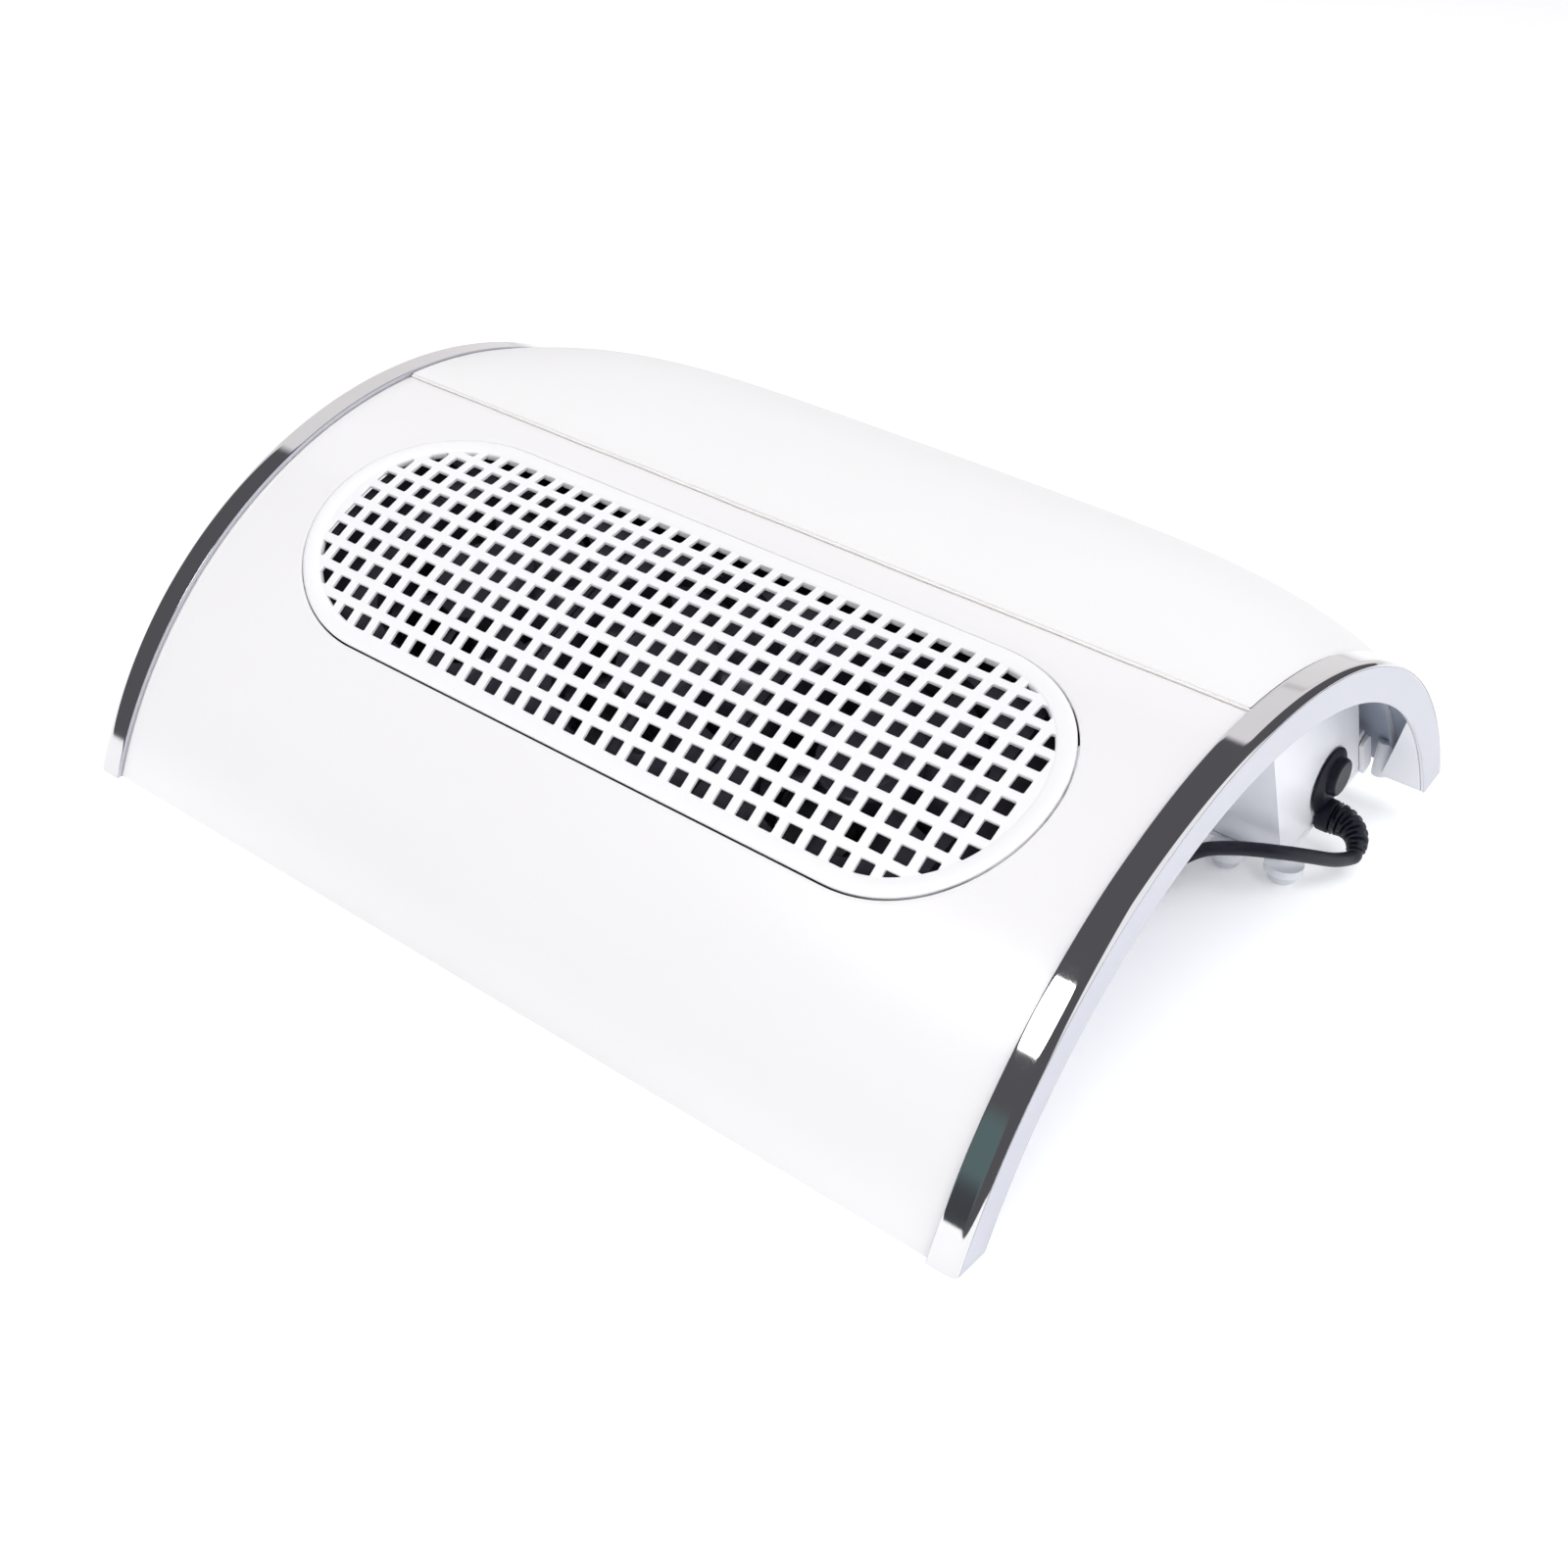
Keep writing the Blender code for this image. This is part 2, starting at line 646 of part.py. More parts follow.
def build_grille():
    """The perforated insert: a holed field with a raised rim, bent to the arch."""
    across = hole_lines(HOLE_COLUMNS, GRILLE_RIM_WIDTH)
    along = hole_lines(HOLE_ROWS, GRILLE_RIM_WIDTH)
    bm = bmesh.new()
    bmesh.ops.create_grid(bm, x_segments=len(across) - 1, y_segments=len(along) - 1, size=1.0)
    for vertex in bm.verts:
        column = round((vertex.co.x + 1) / 2 * (len(across) - 1))
        row = round((vertex.co.y + 1) / 2 * (len(along) - 1))
        vertex.co = (across[column], along[row], 0)
    holes = [face for face in bm.faces if is_hole(face.calc_center_median())]
    bmesh.ops.delete(bm, geom=holes, context="FACES_ONLY")
    raised = bmesh.ops.extrude_face_region(bm, geom=[*bm.faces, *bm.edges, *bm.verts])
    moved = [item for item in raised["geom"] if isinstance(item, bmesh.types.BMVert)]
    bmesh.ops.translate(bm, vec=(0, 0, -GRILLE_FIELD_WALL), verts=moved)
    field = link(finish_mesh(bm, "grille field"), "grille field", None)

    outer = stadium(GRILLE_HALF_LENGTH, GRILLE_HALF_HEIGHT)
    middle_inset = GRILLE_RIM_WIDTH / 2
    middle = stadium(GRILLE_HALF_LENGTH - middle_inset, GRILLE_HALF_HEIGHT - middle_inset)
    inner = stadium(
        GRILLE_HALF_LENGTH - GRILLE_RIM_WIDTH, GRILLE_HALF_HEIGHT - GRILLE_RIM_WIDTH
    )
    bounds = plate("grille bounds", [middle], 4 * GRILLE_WALL)
    rim_wall = GRILLE_WALL + GRILLE_RIM_RISE
    rim_lift = Matrix.Translation((0, 0, GRILLE_RIM_RISE - rim_wall / 2))
    rim = plate("grille rim", [outer, inner], rim_wall, matrix=rim_lift)
    combine(field, bounds, "INTERSECT")
    join(field, rim)
    mesh = baked_mesh(field)
    bpy.data.objects.remove(field, do_unlink=True)
    mesh.name = "grille"
    bend_to_arch(mesh)
    link(mesh, "grille", "satin_white", Matrix.Translation(ARCH_AXIS))


def is_hole(centre):
    """Whether a cell of the grille's grid lies in a hole."""
    for value, count in ((centre.x, HOLE_COLUMNS), (centre.y, HOLE_ROWS)):
        place = value / HOLE_PITCH + (count - 1) / 2
        nearest = round(place)
        if not 0 <= nearest < count or abs(place - nearest) * HOLE_PITCH > HOLE_SIDE / 4:
            return False
    return True


def build_cushion():
    """The hand rest: it rises to a crown, falls to thin edges, and draws in under its sides."""
    half = HALF_WIDTH - TRIM_CAP_WIDTH - FIT_GAP
    bottom = SHELL_RADIUS + FIT_GAP
    bm = bmesh.new()
    bmesh.ops.create_grid(bm, x_segments=PAD_COLUMNS, y_segments=PAD_ROWS, size=1.0)
    lower = bmesh.ops.extrude_face_region(bm, geom=[*bm.faces, *bm.edges, *bm.verts])
    under = {item for item in lower["geom"] if isinstance(item, bmesh.types.BMVert)}
    for vertex in bm.verts:
        across = math.sin(vertex.co.x * math.pi / 2)
        along = math.sin(vertex.co.y * math.pi / 2)
        side_share = 1 - abs(across) ** PAD_SIDE_POWER
        front_share = 1 - abs(along) ** PAD_FRONT_POWER
        angle = PAD_FRONT_ANGLE + (PAD_REAR_ANGLE - PAD_FRONT_ANGLE) * (along + 1) / 2
        reach = bottom
        width = half - PAD_DRAW_IN
        if vertex not in under:
            reach = bottom + PAD_EDGE + PAD_CROWN * side_share * front_share
            width = half
        vertex.co = (across * width, reach * math.sin(angle), reach * math.cos(angle))
    mesh = finish_mesh(bm, "hand_rest_cushion", smooth=True)
    link(mesh, "hand_rest_cushion", "cream_leather", Matrix.Translation(ARCH_AXIS))


def housing_block(name, inset):
    """The housing's three boxes joined: a collar under the grille, the fan box, the outlet box."""
    side = HOUSING_WALL * inset
    over = HOUSING_REACH * inset
    front = HOUSING_FRONT_U + side
    collar_depth = COLLAR_DEPTH - side
    block = box(
        name,
        (side - COLLAR_HALF_WIDTH, front, -collar_depth),
        (COLLAR_HALF_WIDTH - side, STEP_U + side, HOUSING_WALL + over),
        matrix=TILT,
    )
    fan_box = box(
        name + " fans",
        (side - FAN_BOX_HALF_WIDTH, front, -HOUSING_REACH - over),
        (FAN_BOX_HALF_WIDTH - side, STEP_U + HOUSING_WALL + side, 2 * HOUSING_WALL + over),
        matrix=TILT,
    )
    outlet_box = box(
        name + " outlet",
        (side - OUTLET_BOX_HALF_WIDTH, STEP_U + side, -HOUSING_REACH - 2 * over),
        (OUTLET_BOX_HALF_WIDTH - side, HOUSING_REAR_U - side, 3 * HOUSING_WALL + 2 * over),
        matrix=TILT,
    )
    return join(block, fan_box, outlet_box)


def cover_line(y, height):
    """The height of a line that is level under the fans and rises under the outlet."""
    return height + max(0.0, y - COVER_BEND_Y) * math.tan(COVER_RISE)


def under_arch(name):
    """The space under the shell and above the bottom cover, as one solid."""
    radius = SHELL_INNER_RADIUS - FIT_GAP
    floor = COVER_TOP_Z + FIT_GAP
    start = -math.acos((floor - AXIS_Z) / radius)
    outline = arc_outline(radius, start, HOUSING_END_ANGLE)
    rear = outline[-1][0]
    outline += [(rear, cover_line(rear, floor)), (COVER_BEND_Y, floor)]
    return side_profile(name, outline, HALF_WIDTH)


def along_x(name, radius, y, z, start, end, finish=None, sides=24):
    """A cylinder along X."""
    return cylinder(name, radius, (start, y, z), (end, y, z), finish, sides=sides)


def cover_screw_places():
    """Where the bottom cover is screwed to the housing, as (x, y)."""
    places = []
    for side in (-1, 1):
        places.append((side * REAR_SCREW_X, REAR_SCREW_Y))
        places.append((side * FRONT_SCREW_X, FRONT_SCREW_Y))
    return places


def build_housing():
    """The white box under the arch that holds the fans and leads their air to the outlet."""
    housing = housing_block("fan_housing", 0)
    housing.data.materials.append(MATERIALS["satin_white"])
    combine(housing, under_arch("space under arch"), "INTERSECT")
    cut(housing, housing_block("housing inside", 1))
    cut(
        housing,
        box(
            "outlet opening",
            (-OUTLET_HALF_WIDTH, HOUSING_REAR_U - HOUSING_WALL - CUT_OVERRUN, -OUTLET_BOTTOM_DEPTH),
            (OUTLET_HALF_WIDTH, HOUSING_REAR_U + CUT_OVERRUN, -OUTLET_TOP_DEPTH),
            matrix=TILT,
        ),
        along_x(
            "gland hole",
            NECK_RADIUS + FIT_GAP,
            FLANGE_Y,
            FLANGE_Z,
            WALL_X - HOUSING_WALL - CUT_OVERRUN,
            WALL_X + CUT_OVERRUN,
        ),
        switch_block(
            "switch hole",
            SWITCH_BODY_LENGTH + 2 * FIT_GAP,
            SWITCH_BODY_WIDTH + 2 * FIT_GAP,
            -WALL_X - CUT_OVERRUN,
            -WALL_X + HOUSING_WALL + CUT_OVERRUN,
        ),
    )
    join_bag_hooks(housing)
    floor = COVER_TOP_Z + FIT_GAP
    for index, (x, y) in enumerate(cover_screw_places(), start=1):
        low = cover_line(y + COVER_BOSS_RADIUS, floor)
        boss = cylinder(
            f"cover boss {index}",
            COVER_BOSS_RADIUS,
            (x, y, low),
            (x, y, low + COVER_BOSS_HEIGHT),
            sides=12,
        )
        join(housing, boss)
    for index, (x, y) in enumerate(cover_screw_places(), start=1):
        low = cover_line(y + COVER_BOSS_RADIUS, floor)
        cut(housing, screw_hole(f"cover boss hole {index}", (x, y, low), (0, 0, 1)))
    for index, (x, u) in enumerate(shell_boss_places(), start=1):
        cut(housing, screw_hole(f"collar hole {index}", (x, u, -COLLAR_DEPTH), (0, 0, 1), TILT))


def join_bag_hooks(housing):
    """Add the two hooks behind the rear wall that hold the bag frame's side edges."""
    inner = BAG_FRAME_HALF_WIDTH + FIT_GAP
    outer = inner + BAG_HOOK_WALL
    behind = HOUSING_REAR_U + BAG_FRAME_WALL + 2 * FIT_GAP
    low = -BAG_EAR_TOP_DEPTH + FIT_GAP
    high = -BAG_HOOK_TOP_DEPTH
    for name, side in (("left", -1), ("right", 1)):
        for part, near, start in (
            ("arm", inner, HOUSING_REAR_U - HOUSING_WALL / 2),
            ("lip", inner - BAG_HOOK_LIP, behind),
        ):
            ends = sorted((side * near, side * (outer - (near < inner) * FIT_GAP / 3)))
            rear = behind + BAG_HOOK_LIP - (near < inner) * FIT_GAP / 3
            hook = box(
                f"bag hook {part} {name}", (ends[0], start, low), (ends[1], rear, high), None, TILT
            )
            join(housing, hook)


def build_bottom_cover():
    """The plate that closes the housing from below, with ears that stand on the feet."""
    outline = []
    front, rear = -ARCH_RADIUS, ARCH_RADIUS
    for y in (front, COVER_BEND_Y, rear):
        outline.append((y, cover_line(y, FOOT_HEIGHT)))
    for y in (rear, COVER_BEND_Y, front):
        outline.append((y, cover_line(y, COVER_TOP_Z)))
    cover = side_profile("bottom_cover", outline, HALF_WIDTH, "satin_white")
    combine(cover, housing_block("cover bounds", 0), "INTERSECT")
    feet = (
        ("corner_foot_left", -CORNER_FOOT_X, CORNER_FOOT_Y),
        ("corner_foot_right", CORNER_FOOT_X, CORNER_FOOT_Y),
        ("inner_foot_left", -INNER_FOOT_X, INNER_FOOT_Y),
        ("inner_foot_right", INNER_FOOT_X, INNER_FOOT_Y),
    )
    for name, x, y in feet:
        ear = cylinder(
            name + " ear",
            EAR_RADIUS,
            (x, y, FOOT_HEIGHT + FIT_GAP / 10),
            (x, y, COVER_TOP_Z - FIT_GAP / 10),
            sides=16,
        )
        join(cover, ear)
        cylinder(
            name,
            FOOT_BASE_RADIUS,
            (x, y, 0),
            (x, y, FOOT_HEIGHT - FIT_GAP),
            "satin_white",
            sides=16,
            end_radius=FOOT_TOP_RADIUS,
        )
    for index, (x, y) in enumerate(cover_screw_places(), start=1):
        seat = cover_line(y - SCREW_HEAD_RADIUS, FOOT_HEIGHT) - FIT_GAP
        top = cover_line(y + COVER_BOSS_RADIUS, COVER_TOP_Z)
        cut(cover, screw_hole(f"cover hole {index}", (x, y, seat), (0, 0, 1)))
        screw(f"cover_screw_{index}", (x, y, seat), (0, 0, 1), top - seat - 2 * FIT_GAP)


def fan_places():
    """Each fan's name and its centre's x."""
    return [("left", -FAN_PITCH), ("middle", 0.0), ("right", FAN_PITCH)]


def build_fan(name, x):
    """One axial fan: frame, bearing, stator, and the rotor and shaft that spin."""
    half = FAN_SIDE / 2
    bottom = -FAN_BOTTOM_DEPTH
    frame = box(
        f"fan_frame_{name}",
        (x - half, -half, bottom),
        (x + half, half, -FAN_TOP_DEPTH),
        "black_plastic",
        TILT,
    )
    strut_low = bottom + FIT_GAP
    strut_high = strut_low + FAN_STRUT_WALL
    reach = FAN_BORE_RADIUS + FIT_GAP
    width = FAN_STRUT_WIDTH / 2
    along = box(
        f"strut along {name}", (x - reach, -width, strut_low), (x + reach, width, strut_high), None, TILT
    )
    over = FIT_GAP / 3
    across = box(
        f"strut across {name}",
        (x - width, -reach, strut_low + over),
        (x + width, reach, strut_high - over),
        None,
        TILT,
    )
    base = cylinder(
        f"motor base {name}",
        FAN_BASE_RADIUS,
        (x, 0, strut_low - over),
        (x, 0, strut_high + over),
        matrix=TILT,
        sides=20,
    )
    bore = cylinder(
        f"fan bore {name}",
        FAN_BORE_RADIUS,
        (x, 0, bottom - CUT_OVERRUN),
        (x, 0, CUT_OVERRUN - FAN_TOP_DEPTH),
        matrix=TILT,
        sides=24,
    )
    seat = cylinder(
        f"bearing seat {name}",
        FAN_BEARING_RADIUS + FIT_GAP,
        (x, 0, bottom - CUT_OVERRUN),
        (x, 0, strut_high + CUT_OVERRUN),
        matrix=TILT,
        sides=12,
    )
    cut(frame, bore)
    join(frame, along, across, base)
    cut(frame, seat)
    bearing_low = strut_low
    bearing_high = bearing_low + FAN_BEARING_LENGTH
    bearing = cylinder(
        f"fan_bearing_{name}",
        FAN_BEARING_RADIUS,
        (x, 0, bearing_low),
        (x, 0, bearing_high),
        "brass",
        TILT,
        sides=12,
    )
    bearing_bore = cylinder(
        f"bearing bore {name}",
        FAN_SHAFT_RADIUS + FIT_GAP,
        (x, 0, bearing_low - CUT_OVERRUN),
        (x, 0, bearing_high + CUT_OVERRUN),
        matrix=TILT,
        sides=12,
    )
    cut(bearing, bearing_bore)
    stator_low = strut_high + FAN_STATOR_LIFT
    stator = cylinder(
        f"fan_stator_{name}",
        FAN_STATOR_RADIUS,
        (x, 0, stator_low),
        (x, 0, stator_low + FAN_STATOR_HEIGHT),
        "copper",
        TILT,
        sides=16,
    )
    stator_bore = cylinder(
        f"stator bore {name}",
        FAN_BEARING_RADIUS + FIT_GAP,
        (x, 0, stator_low - CUT_OVERRUN),
        (x, 0, stator_low + FAN_STATOR_HEIGHT + CUT_OVERRUN),
        matrix=TILT,
        sides=12,
    )
    cut(stator, stator_bore)
    build_rotor(name, x, bearing_low)
    for index, side in enumerate((-1, 1), start=1):
        place = (x + side * FAN_HOLE_OFFSET, side * FAN_HOLE_OFFSET, bottom)
        cut(frame, screw_hole(f"frame hole {name} {index}", place, (0, 0, 1), TILT))
        under_deck = (place[0], place[1], -DECK_TOP_DEPTH - DECK_WALL - FIT_GAP)
        through = DECK_WALL + 2 * FIT_GAP
        screw(f"fan_screw_{name}_{index}", under_deck, (0, 0, 1), through, TILT)


def build_rotor(name, x, shaft_low):
    """A fan's spinning pieces: the hub cup with its blades, and the shaft in the cup's roof."""
    axis = TILT @ Matrix.Translation((x, 0, -FAN_TOP_DEPTH - FAN_HUB_SET_DOWN))
    rotor = cylinder(
        f"fan_rotor_{name}",
        FAN_HUB_RADIUS,
        (0, 0, -FAN_HUB_HEIGHT),
        (0, 0, 0),
        "black_plastic",
        axis,
        sides=20,
    )
    middle = -FAN_HUB_HEIGHT / 2
    for index in range(FAN_BLADES):
        turn = Matrix.Rotation(2 * math.pi * index / FAN_BLADES, 4, "Z")
        pitch = Matrix.Rotation(FAN_BLADE_PITCH, 4, "X")
        blade = box(
            f"blade {name} {index}",
            (FAN_HUB_RADIUS - FAN_CUP_WALL / 2, -FAN_BLADE_CHORD / 2, -FAN_BLADE_WALL / 2),
            (FAN_BLADE_REACH, FAN_BLADE_CHORD / 2, FAN_BLADE_WALL / 2),
            matrix=axis @ turn @ Matrix.Translation((0, 0, middle)) @ pitch,
        )
        join(rotor, blade)
    cavity = cylinder(
        f"hub cavity {name}",
        FAN_HUB_RADIUS - FAN_CUP_WALL,
        (0, 0, -FAN_HUB_HEIGHT - CUT_OVERRUN),
        (0, 0, -FAN_CUP_WALL),
        matrix=axis,
        sides=20,
    )
    cut(rotor, cavity)
    shaft_top = -FAN_CUP_WALL - FIT_GAP
    shaft_bottom = shaft_low + FAN_TOP_DEPTH + FAN_HUB_SET_DOWN
    cylinder(
        f"fan_shaft_{name}",
        FAN_SHAFT_RADIUS,
        (0, 0, shaft_bottom),
        (0, 0, shaft_top),
        "steel",
        axis,
        sides=12,
    )


def build_deck():
    """The tilted plate that the fans stand on, open under each of them."""
    half = FAN_BOX_HALF_WIDTH - HOUSING_WALL - FIT_GAP
    top = -DECK_TOP_DEPTH
    deck = box(
        "fan_deck",
        (-half, HOUSING_FRONT_U + HOUSING_WALL + FIT_GAP, top - DECK_WALL),
        (half, DECK_REAR_U, top),
        "black_plastic",
        TILT,
    )
    for name, x in fan_places():
        mouth = cylinder(
            f"deck mouth {name}",
            FAN_BORE_RADIUS,
            (x, 0, top - DECK_WALL - CUT_OVERRUN),
            (x, 0, top + CUT_OVERRUN),
            matrix=TILT,
            sides=24,
        )
        cut(deck, mouth)
        for index, side in enumerate((-1, 1), start=1):
            place = (x + side * FAN_HOLE_OFFSET, side * FAN_HOLE_OFFSET, top - DECK_WALL)
            cut(deck, screw_hole(f"deck hole {name} {index}", place, (0, 0, 1), TILT))


def build_bag_frame():
    """The slide-on ring behind the outlet, with an ear at each lower corner to pull it by."""
    facing = TILT @ Matrix(((1, 0, 0, 0), (0, 0, -1, 0), (0, 1, 0, 0), (0, 0, 0, 1)))
    middle = HOUSING_REAR_U + FIT_GAP + BAG_FRAME_WALL / 2
    facing = TILT @ Matrix.Translation((0, middle, 0)) @ TILT.inverted() @ facing
    half, ear = BAG_FRAME_HALF_WIDTH, BAG_EAR_HALF_WIDTH
    rim = [
        (-half, -BAG_FRAME_TOP_DEPTH),
        (-half, -BAG_EAR_TOP_DEPTH),
        (-ear, -BAG_EAR_TOP_DEPTH),
        (-ear, -BAG_FRAME_BOTTOM_DEPTH),
        (ear, -BAG_FRAME_BOTTOM_DEPTH),
        (ear, -BAG_EAR_TOP_DEPTH),
        (half, -BAG_EAR_TOP_DEPTH),
        (half, -BAG_FRAME_TOP_DEPTH),
    ]
    mouth = [
        (-OUTLET_HALF_WIDTH, -OUTLET_TOP_DEPTH),
        (OUTLET_HALF_WIDTH, -OUTLET_TOP_DEPTH),
        (OUTLET_HALF_WIDTH, -OUTLET_BOTTOM_DEPTH),
        (-OUTLET_HALF_WIDTH, -OUTLET_BOTTOM_DEPTH),
    ]
    plate("bag_frame", [rim, mouth], BAG_FRAME_WALL, "satin_white", facing)


def switch_block(name, length, width, start, end, finish=None):
    """A box centred on the switch, upright, between two places along X."""
    return box(
        name,
        (start, SWITCH_Y - width / 2, SWITCH_Z - length / 2),
        (end, SWITCH_Y + width / 2, SWITCH_Z + length / 2),
        finish,
    )


def build_switch():
    """The rocker switch in the left wall: its bezel and body, and the rocker at its off stop."""
    face = -WALL_X - FIT_GAP - SWITCH_FLANGE
    wall = -WALL_X - FIT_GAP
    back = wall + SWITCH_BODY_DEPTH
    bezel = switch_block(
        "switch_bezel", SWITCH_LENGTH, SWITCH_WIDTH, face, wall, "black_plastic"
    )
    join(
        bezel,
        switch_block(
            "switch body", SWITCH_BODY_LENGTH, SWITCH_BODY_WIDTH, wall - SWITCH_FLANGE / 2, back
        ),
    )
    for index, side in enumerate((-1, 1), start=1):
        offset = side * SWITCH_BODY_LENGTH / 4
        terminal = box(
            f"terminal {index}",
            (back - SWITCH_TERMINAL, SWITCH_Y - 2 * SWITCH_TERMINAL, SWITCH_Z + offset),
            (
                back + SWITCH_TERMINAL_REACH,
                SWITCH_Y + 2 * SWITCH_TERMINAL,
                SWITCH_Z + offset + SWITCH_TERMINAL,
            ),
        )
        join(bezel, terminal)
    cut(
        bezel,
        switch_block(
            "switch well",
            ROCKER_LENGTH + 2 * ROCKER_CLEARANCE,
            ROCKER_WIDTH + 2 * FIT_GAP,
            face - CUT_OVERRUN,
            face + SWITCH_WELL_DEPTH,
        ),
    )
    half = ROCKER_LENGTH / 2
    foot = half - ROCKER_TAPER
    lip = ROCKER_PIVOT_DEPTH + ROCKER_DIP
    outline = [
        (-half, lip),
        (-foot, lip - ROCKER_DEPTH),
        (foot, lip - ROCKER_DEPTH),
        (half, lip),
        (0, ROCKER_PIVOT_DEPTH),
    ]
    facing = Matrix(((0, -1, 0, 0), (0, 0, -1, 0), (1, 0, 0, 0), (0, 0, 0, 1)))
    pivot = Matrix.Translation((face + ROCKER_PIVOT_DEPTH, SWITCH_Y, SWITCH_Z))
    tilt = Matrix.Rotation(ROCKER_TILT, 4, "Z")
    plate("switch_rocker", [outline], ROCKER_WIDTH, "red_plastic", pivot @ facing @ tilt)


def boot_heading():
    """The direction in which the boot's tip points: out, down and a little forwards."""
    fall = Vector((0, -math.sin(BOOT_LEAN), -math.cos(BOOT_LEAN)))
    return Vector((math.cos(BOOT_BEND), 0, 0)) + fall * math.sin(BOOT_BEND)


def boot_path():
    """The boot's centre line: straight out of its root, a bend downwards, and straight again."""
    start = Vector((WALL_X + FIT_GAP + STUB_LENGTH + FIT_GAP, FLANGE_Y, FLANGE_Z - BOOT_ROOT_DROP))
    bend_length = BOOT_BEND_RADIUS * BOOT_BEND
    total = 2 * BOOT_STRAIGHT + bend_length
    fall = Vector((0, -math.sin(BOOT_LEAN), -math.cos(BOOT_LEAN)))
    points = []
    steps = 2 * BOOT_RIBS
    for step in range(steps + 1):
        along = total * step / steps
        arc = min(max(along - BOOT_STRAIGHT, 0), bend_length)
        angle = arc / BOOT_BEND_RADIUS
        x = min(along, BOOT_STRAIGHT) + BOOT_BEND_RADIUS * math.sin(angle)
        drop = BOOT_BEND_RADIUS * (1 - math.cos(angle))
        after = max(along - BOOT_STRAIGHT - bend_length, 0)
        points.append(start + Vector((x, 0, 0)) + fall * drop + boot_heading() * after)
    return points


def build_cord_entry():
    """The gland flange in the right wall, and the ribbed boot that turns the cord downwards."""
    outside = WALL_X + FIT_GAP
    flange = along_x(
        "cord_flange", FLANGE_RADIUS, FLANGE_Y, FLANGE_Z, outside, outside + FLANGE_WALL, "black_plastic"
    )
    stub = along_x(
        "flange stub", STUB_RADIUS, FLANGE_Y, FLANGE_Z, outside + FLANGE_WALL / 2, outside + STUB_LENGTH
    )
    neck = along_x(
        "flange neck", NECK_RADIUS, FLANGE_Y, FLANGE_Z, WALL_X - NECK_LENGTH, outside + FLANGE_WALL / 2
    )
    root = along_x(
        "boot root",
        BOOT_ROOT_RADIUS,
        FLANGE_Y,
        FLANGE_Z - BOOT_ROOT_DROP,
        outside + FIT_GAP / 3,
        outside + STUB_LENGTH - FIT_GAP / 3,
    )
    join(flange, stub, neck, root)
    path = boot_path()
    radii = []
    for index in range(len(path)):
        share = index / (len(path) - 1)
        radius = BOOT_ROOT_RADIUS + (BOOT_TIP_RADIUS - BOOT_ROOT_RADIUS) * share
        radii.append(radius - BOOT_GROOVE_DEPTH * (index % 2))
    tube("cord_boot", path, BOOT_ROOT_RADIUS, "black_rubber", radii)


def cord_route():
    """The hand-placed points of the cord's free run, from the boot's tip to the coil."""
    tip = boot_path()[-1]
    away = boot_heading()
    start = tip + away * FIT_GAP
    low = CORD_FLOOR
    lane = FAN_BOX_HALF_WIDTH + CORD_LANE
    front = HOUSING_FRONT_Y
    entry_y = COIL_CENTRE_Y - coil_radius(0.0)
    entry_x = COIL_CENTRE_X + COIL_LEAD_IN + FIT_GAP
    return [
        start,
        start + away * BOOT_STRAIGHT,
        Vector((WALL_X + 0.0135, FLANGE_Y - 0.0093, 0.0070)),
        Vector((WALL_X + 0.0118, FLANGE_Y - 0.0153, 0.0088)),
        Vector((WALL_X + 0.0085, FLANGE_Y - 0.0228, 0.0120)),
        Vector((WALL_X + 0.0040, FLANGE_Y - 0.0290, 0.0141)),
        Vector((WALL_X - 0.0015, FLANGE_Y - 0.0326, 0.0142)),
        Vector((WALL_X - 0.0080, FLANGE_Y - 0.0340, 0.0124)),
        Vector((WALL_X - 0.0150, FLANGE_Y - 0.0363, 0.0096)),
        Vector((lane + 0.0025, FLANGE_Y - 0.0408, 0.0055)),
        Vector((lane, FLANGE_Y - 0.0493, low + 0.0004)),
        Vector((lane - 0.0002, 0.0150, low)),
        Vector((lane + 0.0002, -0.0150, low)),
        Vector((lane, -0.0400, low)),
        Vector((lane + 0.0002, front + 0.0041, low)),
        Vector((lane - 0.0035, front - 0.0089, low)),
        Vector((lane - 0.0150, front - 0.0159, low)),
        Vector((lane / 2, front - 0.0174, low)),
        Vector((0, front - 0.0179, low)),
        Vector((-lane / 2, front - 0.0174, low)),
        Vector((0.0150 - lane, front - 0.0159, low)),
        Vector((0.0035 - lane, front - 0.0089, low)),
        Vector((-0.0005 - lane, front + 0.0041, low)),
        Vector((-0.0010 - lane, -0.0380, low)),
        Vector((-0.0030 - lane, -0.0100, low)),
        Vector((-0.0090 - lane, 0.0110, low)),
        Vector((-0.0230 - lane, 0.0240, low)),
        Vector((-0.0430 - lane, entry_y - 0.0010, low)),
        Vector((entry_x + 0.0120, entry_y, COIL_FLOOR)),
        Vector((entry_x + 0.0040, entry_y, COIL_FLOOR)),
        Vector((entry_x, entry_y, COIL_FLOOR)),
    ]


